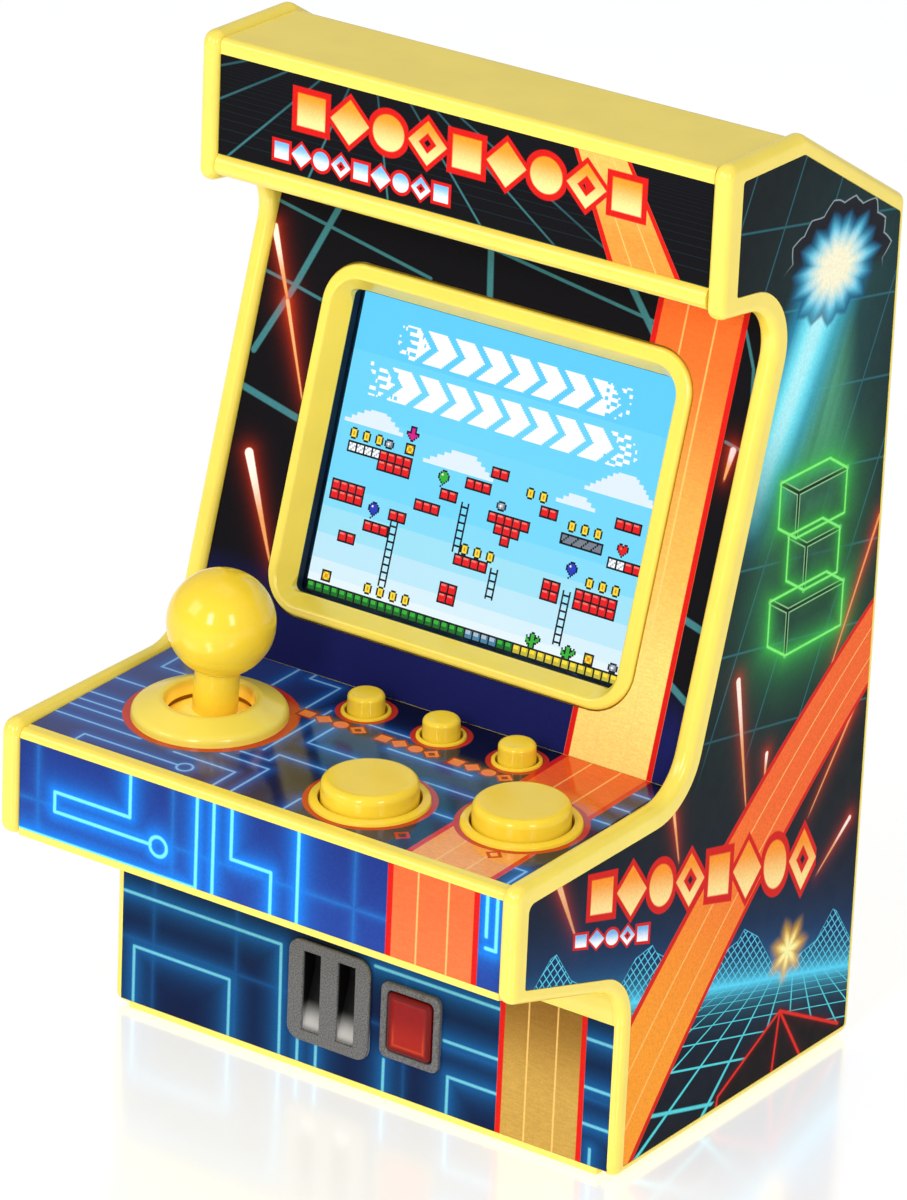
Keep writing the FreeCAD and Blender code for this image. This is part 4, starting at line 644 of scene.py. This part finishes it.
dress(["left_side_sticker", "right_side_sticker"], printed("side_film", side_print, SIDE_SURFACE))
dress(["marquee_panel"], printed("marquee_insert", fan_print, MARQUEE_SURFACE))
dress(["screen_overlay"], printed("screen_film", screen_print, SCREEN_SURFACE))
dress(["deck_overlay"], printed("deck_film", deck_print, DECK_SURFACE, roughness=0.1, specular=0.5))
dress(["apron_panel"], printed("apron_insert", apron_print, APRON_SURFACE, roughness=0.5))
dress(["lower_front_panel"], printed("front_film", front_print, FRONT_SURFACE))
dress(["lcd_module"], moulded_plastic("display_panel", srgb(20, 44, 66), roughness=0.5, specular=0.1))


def coin_metal(node_name, slot_shade):
    """Speckled grey; in the slots, painted shade that is near black deep inside and painted light that turns pale
    towards their lower ends.
    """
    made, tree, shader = material(node_name + "_grey", 0.5, 0.15)
    low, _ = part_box(node_name)
    depth, height = surface_fields(tree, Vector((0, low.y, 0)), Vector((0, 1, 0)), Vector((0, 0, 1)))
    speck = noise(tree, 0.22, detail=3.0, roughness=0.7)
    paint = Paint(tree, srgb(76, 76, 80)).lay(speck.ramp(0.35, 0.65), srgb(118, 118, 120))
    if slot_shade:
        # Painted shade and painted light in the slots: black below the face, pale grey towards each slot's lower end,
        # where its floor would catch the light.
        foot = low.z * PER_M
        inside = Paint(tree, srgb(10, 10, 12)).lay(height.ramp(foot + 6.5, foot + 3.0), srgb(176, 176, 178))
        paint.lay(depth.ramp(0.25, 0.6), inside.colour)
    wire(tree, paint.colour, shader.inputs["Base Color"])
    bump(tree, shader, speck, 0.15, 0.02)
    return made


dress(["coin_slot_plate"], coin_metal("coin_slot_plate", True))
dress(["coin_return_frame"], coin_metal("coin_return_frame", False))


def return_button():
    """Red plastic with a pressed-in border line; painted shade darkens the upper half, so the lower half is lighter and
    warmer, and a painted highlight runs along the border's lower part.
    """
    made, tree, shader = material("return_red", 0.3, 0.12)
    low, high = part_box("coin_return_button")
    middle = (low + high) / 2
    u, v = surface_fields(tree, middle, Vector((1, 0, 0)), Vector((0, 0, 1)))
    reach = (u.maths("ABSOLUTE") + 0.8).maths("MAXIMUM", v.maths("ABSOLUTE"))
    # Painted shade: the red darkens towards the top.
    paint = Paint(tree, srgb(158, 26, 16)).lay(v.ramp(-2.5, 2.0), srgb(136, 12, 12))
    paint.lay(reach.ramp(3.7, 4.1), srgb(104, 8, 8))
    # Painted highlight along the lower inner edge of the border.
    paint.lay(near(reach, 3.5, 0.1, 0.25) * v.ramp(1.5, -3.0) * 0.7, srgb(206, 84, 40))
    paint.grain(0.04, 1.2)
    wire(tree, paint.colour, shader.inputs["Base Color"])
    bump(tree, shader, reach.ramp(3.4, 3.9), 0.6, 0.15)
    return made


dress(["coin_return_button"], return_button())


def clear_lens():
    made, _, shader = material("clear_lens", 0.03)
    shader.inputs["Base Color"].default_value = (1, 1, 1, 1)
    shader.inputs["Transmission Weight"].default_value = 1.0
    shader.inputs["IOR"].default_value = 1.05
    return made


dress(["display_window"], clear_lens())

# ---------------------------------------------------------------- rubber domes under the caps
DECK_OUT = DECK_SURFACE[1].cross(DECK_SURFACE[2])
# Share of the height, and share of the CAD cone's radius there: a foot ring, a waist and a head.
DOME_PROFILE = [(0.0, 0.99), (0.06, 0.99), (0.15, 0.9), (0.4, 0.86), (0.7, 0.93), (0.9, 0.98), (0.97, 0.9), (1.0, 0.7)]
RING_POINTS = 36
HEAD_GAP = 0.06  # mm left under the button


def rubber_dome(button, node_name, foot_radius, head_radius, travel):
    """A bell of rubber that stands in for a CAD cone."""
    solid = NODES[node_name]
    levels = [DECK_OUT.dot(solid.matrix_world @ vertex.co) for vertex in solid.data.vertices]
    foot = min(levels)
    thickness = max(levels) - foot - HEAD_GAP * MM
    low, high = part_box(node_name)
    middle = (low + high) / 2
    middle += DECK_OUT * (foot - DECK_OUT.dot(middle))
    corners = []
    for share, fullness in DOME_PROFILE:
        radius = (foot_radius + (head_radius - foot_radius) * share) * fullness * MM
        for step in range(RING_POINTS):
            turn = math.tau * step / RING_POINTS
            spread = DECK_SURFACE[1] * math.cos(turn) + DECK_SURFACE[2] * math.sin(turn)
            corners.append(middle + DECK_OUT * thickness * share + spread * radius)
    faces = [range(RING_POINTS - 1, -1, -1), range(len(corners) - RING_POINTS, len(corners))]
    for ring in range(len(DOME_PROFILE) - 1):
        for step in range(RING_POINTS):
            start, after = ring * RING_POINTS + step, ring * RING_POINTS + (step + 1) % RING_POINTS
            faces.append((start, after, after + RING_POINTS, start + RING_POINTS))
    mesh = bpy.data.meshes.new(f"{button}_rubber")
    mesh.from_pydata(corners, [], faces)
    for face in mesh.polygons:
        face.use_smooth = len(face.vertices) == 4
    mesh.materials.append(dome_rubber)
    bell = bpy.data.objects.new(f"{button}_rubber", mesh)
    bpy.context.scene.collection.objects.link(bell)
    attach(bell, "cabinet")
    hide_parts(node_name)
    1 - (travel + 0.02) * MM / thickness
    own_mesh(bell)


for letter in "ab":
    rubber_dome(f"button_{letter}", f"button_{letter}_dome", 4.2, 2.3, 1.4)
for label in ("reset", "start", "volume"):
    rubber_dome(label, f"{label}_button_dome", 2.6, 1.6, 1.0)

# ---------------------------------------------------------------- the display's picture, in square cells
ACROSS, DOWN = 196, 157
CELL_WIDTH, CELL_HEIGHT = 0.2855 * MM, 0.29 * MM
INKS = {
    "K": srgb(20, 22, 30), "W": srgb(252, 253, 255), "S": srgb(178, 190, 202), "R": srgb(232, 28, 32),
    "P": srgb(255, 120, 110), "Y": srgb(250, 222, 60), "O": srgb(222, 150, 30), "G": srgb(60, 180, 60),
    "D": srgb(30, 110, 40), "B": srgb(40, 62, 190), "T": srgb(70, 130, 165), "V": srgb(196, 184, 62),
    "M": srgb(214, 30, 140), "C": srgb(226, 240, 250), "N": srgb(120, 128, 142),
}
SKY = [(0, srgb(98, 208, 250)), (30, srgb(110, 214, 250)), (62, srgb(118, 216, 250)), (100, srgb(134, 220, 248)),
       (112, srgb(160, 226, 246)), (126, srgb(188, 232, 248)), (139, srgb(214, 239, 249)), (147, srgb(230, 244, 251))]
COIN = [".KKK.", "KYYYK", "KYOYK", "KYOYK", "KYYYK", ".KKK."]
BALLOON = ["..KKK..", ".KaaaK.", "KaWaaaK", "KaaaaaK", "KaaaaaK", ".KaaaK.", "..KaK..", "...K...", "..K...."]
CRATE = ["KKKKKK", "KOYYOK", "KYOOYK", "KYOOYK", "KOYYOK", "KKKKKK"]
ARROW = ["..KKKK..", "..KMMK..", "..KMMK..", "KKKMMKKK", "KMMMMMMK", ".KMMMMK.", "..KMMK..", "...KK..."]
CACTUS = ["...KK....", "..KGGK.K.", "K.KGGKKGK", "GKKGGKGGK", "GGKGGGGK.", "KGGGGKK..", ".KKGGK...", "..KGGK..."]
HEART = [".KK.KK.", "KRRKRRK", "KRPRRRK", "KRRRRRK", ".KRRRK.", "..KRK..", "...K..."]
PEBBLE = [".KKKK.", "KNSSNK", "KSWSNK", "KNSNNK", ".KKKK."]

picture = [[max(band for band in SKY if band[0] <= row)[1]] * ACROSS for row in range(DOWN)]


def put(x, y, ink):
    if 0 <= x < ACROSS and 0 <= y < DOWN:
        picture[y][x] = INKS[ink]


def stamp(x, y, sprite, own=None):
    """Draw a sprite with its top left cell at x, y. The letter a stands for the sprite's own ink."""
    for row, text in enumerate(sprite):
        for column, letter in enumerate(text):
            if letter != ".":
                put(x + column, y + row, own if letter == "a" else letter)


def brick(x, y, face):
    """A block of six by six cells whose outline is shared with its neighbours."""
    for row in range(6):
        for column in range(6):
            ink = face
            if row in (0, 5) or column in (0, 5):
                ink = "K"
            elif face == "W" and (row + column) % 3 == 0:
                ink = "S"
            elif face == "R" and row == 1 and column < 4:
                ink = "P"
            elif face in "DTV" and row < 3 and column < 4:
                ink = {"D": "G", "T": "S", "V": "Y"}[face]
            put(x + column, y + row, ink)


def platform(face, x, y, columns, rows):
    for row in range(rows):
        for column in range(columns):
            brick(x + 5 * column, y + 5 * row, face)


def cloud(x, y, width, height):
    """A flat-bottomed heap of steps."""
    for row in range(height):
        share = (height - 1 - row) // 2 * 2 / height
        start = x + round(width * 0.45 * share)
        stop = x + width - round(width * 0.35 * share)
        for column in range(start, stop):
            put(column, y + row, "C")


def ladder(x, top, bottom):
    for y in range(top, bottom):
        rung = (y - top) % 4 == 2
        for column in range(5):
            if rung or column in (0, 4):
                put(x - 2 + column, y, "K")


def chevrons(left, right, top, height, dissolve):
    """A row of broad arrow heads that crumbles into cells at both ends."""
    for y in range(top, top + height):
        bend = abs(y - top - (height - 1) / 2)
        for x in range(left, right):
            stroke = (x + int(bend)) % 17 < 12
            crumble = min(x - left, right - x) / dissolve < ((x // 2 * 37 + y // 2 * 59) % 17) / 17
            if stroke and not crumble:
                put(x, y, "W")


chevrons(22, 172, 11, 17, 22)
chevrons(9, 182, 34, 17, 26)
for place in ((3, 58, 37, 9), (55, 66, 44, 10), (138, 70, 24, 6), (153, 53, 43, 13)):
    cloud(*place)
# Ledges of bricks: a stair that climbs to the right, a wedge, and single ones.
for step in range(7):
    platform("R", 13 + 14 * step, 122 - 9 * step, 2 + step % 2, 1)
for step in range(3):
    platform("R", 100 + 5 * step, 90 + 5 * step, 5 - 2 * step, 1)
for block in (("W", 8, 76, 4, 1), ("R", 28, 76, 4, 2), ("R", 3, 97, 4, 2), ("R", 130, 80, 2, 1), ("R", 175, 75, 3, 1),
              ("W", 175, 95, 2, 1), ("R", 185, 95, 2, 1), ("R", 85, 116, 4, 1), ("R", 80, 132, 2, 2),
              ("R", 140, 115, 2, 2), ("R", 160, 115, 5, 2)):
    platform(*block)
for x, y, count in ((8, 69, 3), (148, 83, 3), (165, 108, 3), (88, 110, 3), (35, 144, 4), (120, 73, 2)):
    for number in range(count):
        stamp(x + 8 * number, y, COIN)
for column, top, bottom in ((45, 110, 144), (85, 90, 116), (110, 118, 134), (155, 118, 146)):
    ladder(column, top, bottom)
for x, y, ink in ((66, 77, "G"), (152, 103, "B"), (28, 103, "B")):
    stamp(x, y, BALLOON, ink)
for sprite, x, y in ((CRATE, 43, 69), (CRATE, 8, 144), (CRATE, 173, 145), (ARROW, 42, 60), (CACTUS, 137, 143),
                     (CACTUS, 159, 144), (HEART, 179, 87), (PEBBLE, 188, 146), (PEBBLE, 104, 84), (PEBBLE, 30, 70)):
    stamp(x, y, sprite)
for column in range(145, 171):
    for row in range(90, 96):
        rim = row in (90, 95) or column in (145, 170)
        put(column, row, "K" if rim or (column + row) % 6 == 0 else "N")
for x in range(0, ACROSS, 5):
    brick(x, DOWN - 6, "D" if x < 100 else "T" if x < 118 else "D" if x < 126 else "V")

# The screen leans back from SEAM, a point on the line where it meets the deck.
SCREEN_LEAN = math.radians(16.17)
SCREEN_UP = Vector((0, math.sin(SCREEN_LEAN), math.cos(SCREEN_LEAN)))
SCREEN_OUT = Vector((0, -math.cos(SCREEN_LEAN), math.sin(SCREEN_LEAN)))
display = NODES["lcd_module"]
face_height = max(SCREEN_OUT.dot(display.matrix_world @ vertex.co) for vertex in display.data.vertices)
SEAM = Vector((0, -3.97, 57.01)) * MM
SEAM += SCREEN_OUT * (face_height + 0.01 * MM - SCREEN_OUT.dot(SEAM))
picture_corner = SEAM + Vector((-28.2 * MM, 0, 0)) + SCREEN_UP * 56.2 * MM
corners, quads, quad_inks = [], [], []
for row, cells in enumerate(picture):
    start = 0
    for column in range(1, ACROSS + 1):
        if column < ACROSS and cells[column] == cells[start]:
            continue
        first = len(corners)
        for along, down in ((start, row + 1), (column, row + 1), (column, row), (start, row)):
            corners.append(picture_corner + Vector((along * CELL_WIDTH, 0, 0)) - SCREEN_UP * down * CELL_HEIGHT)
        quads.append(range(first, first + 4))
        quad_inks.append(cells[start])
        start = column
picture_mesh = bpy.data.meshes.new("display_picture")
picture_mesh.from_pydata(corners, [], quads)
tint = picture_mesh.color_attributes.new("tint", "FLOAT_COLOR", "CORNER")
for number, ink in enumerate(quad_inks):
    for corner in range(4):
        tint.data[4 * number + corner].color = ink


def lit_picture():
    """Each cell glows in its own colour, with a faint dark line between cells."""
    made, tree, shader = material("lit_picture", 0.5, 0.0)
    attribute = tree.nodes.new("ShaderNodeVertexColor")
    attribute.layer_name = "tint"
    u, v = surface_fields(tree, picture_corner, Vector((1, 0, 0)), SCREEN_UP)
    edge = (u / (CELL_WIDTH * PER_M)).maths("PINGPONG", 0.5).maths("MINIMUM",
                                                                  (v / (CELL_HEIGHT * PER_M)).maths("PINGPONG", 0.5))
    paint = Paint(tree, Field(tree, attribute.outputs["Color"])).lay(edge.ramp(0.08, 0.0) * 0.06, (0, 0, 0, 1))
    wire(tree, paint.colour, shader.inputs["Emission Color"])
    shader.inputs["Emission Strength"].default_value = 1.05
    shader.inputs["Base Color"].default_value = (0.01, 0.01, 0.01, 1)
    return made


picture_mesh.materials.append(lit_picture())
display_picture = bpy.data.objects.new("display_picture", picture_mesh)
bpy.context.scene.collection.objects.link(display_picture)
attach(display_picture, "cabinet")

# ---------------------------------------------------------------- studio
FLOOR_SIZE = 6.0
floor_mesh = bpy.data.meshes.new("floor")
half = FLOOR_SIZE / 2
floor_mesh.from_pydata([(-half, -half, 0), (half, -half, 0), (half, half, 0), (-half, half, 0)], [], [(0, 1, 2, 3)])
floor = bpy.data.objects.new("floor", floor_mesh)
bpy.context.scene.collection.objects.link(floor)
floor_material, _, floor_shader = material("pale_floor", 0.17, 1.0)
floor_shader.inputs["IOR"].default_value = 2.6
floor_shader.inputs["Base Color"].default_value = srgb(200, 202, 206)
floor_shader.inputs["Emission Color"].default_value = (1, 1, 1, 1)
floor_shader.inputs["Emission Strength"].default_value = 0.56
floor_mesh.materials.append(floor_material)

scene = bpy.context.scene
scene.view_settings.view_transform = "Standard"
world = bpy.data.worlds.new("studio")
world.use_nodes = True
world.node_tree.nodes["Background"].inputs["Color"].default_value = (1, 1, 1, 1)
world.node_tree.nodes["Background"].inputs["Strength"].default_value = 0.5
scene.world = world


MIDDLE = Vector((0, 0, 0.075))


def softbox(name, place, size, power):
    """A rectangular light that faces the middle of the cabinet."""
    light = bpy.data.lights.new(name, "AREA")
    light.shape = "RECTANGLE"
    light.size, light.size_y = size
    light.energy = power
    holder = bpy.data.objects.new(name, light)
    holder.location = place
    holder.rotation_euler = (MIDDLE - Vector(place)).to_track_quat("-Z", "Y").to_euler()
    scene.collection.objects.link(holder)


softbox("left_box", (0.13, -0.80, 0.46), (0.15, 0.34), 2.6)
softbox("right_box", (0.70, -0.42, 0.46), (0.15, 0.34), 1.6)
softbox("key", (-0.6, -0.8, 0.7), (0.5, 0.5), 2.7)
softbox("top", (0.0, 0.15, 1.0), (0.6, 0.6), 0.7)

# The camera stands in front, to the player's right, and looks slightly down.
CAMERA_PLACE = Vector((511.67, -746.58, 451.59)) * MM
CAMERA_RIGHT = Vector((0.81536, 0.57757, 0.04002))
CAMERA_UP = Vector((-0.25328, 0.29369, 0.92173))
camera_data = bpy.data.cameras.new("camera")
camera_data.lens = 202.42
camera_data.sensor_width = 36.0
camera_data.clip_start = 0.05
camera = bpy.data.objects.new("camera", camera_data)
turn = Matrix((CAMERA_RIGHT, CAMERA_UP, CAMERA_RIGHT.cross(CAMERA_UP))).transposed().to_4x4()
camera.matrix_world = Matrix.Translation(CAMERA_PLACE) @ turn
scene.collection.objects.link(camera)
scene.camera = camera
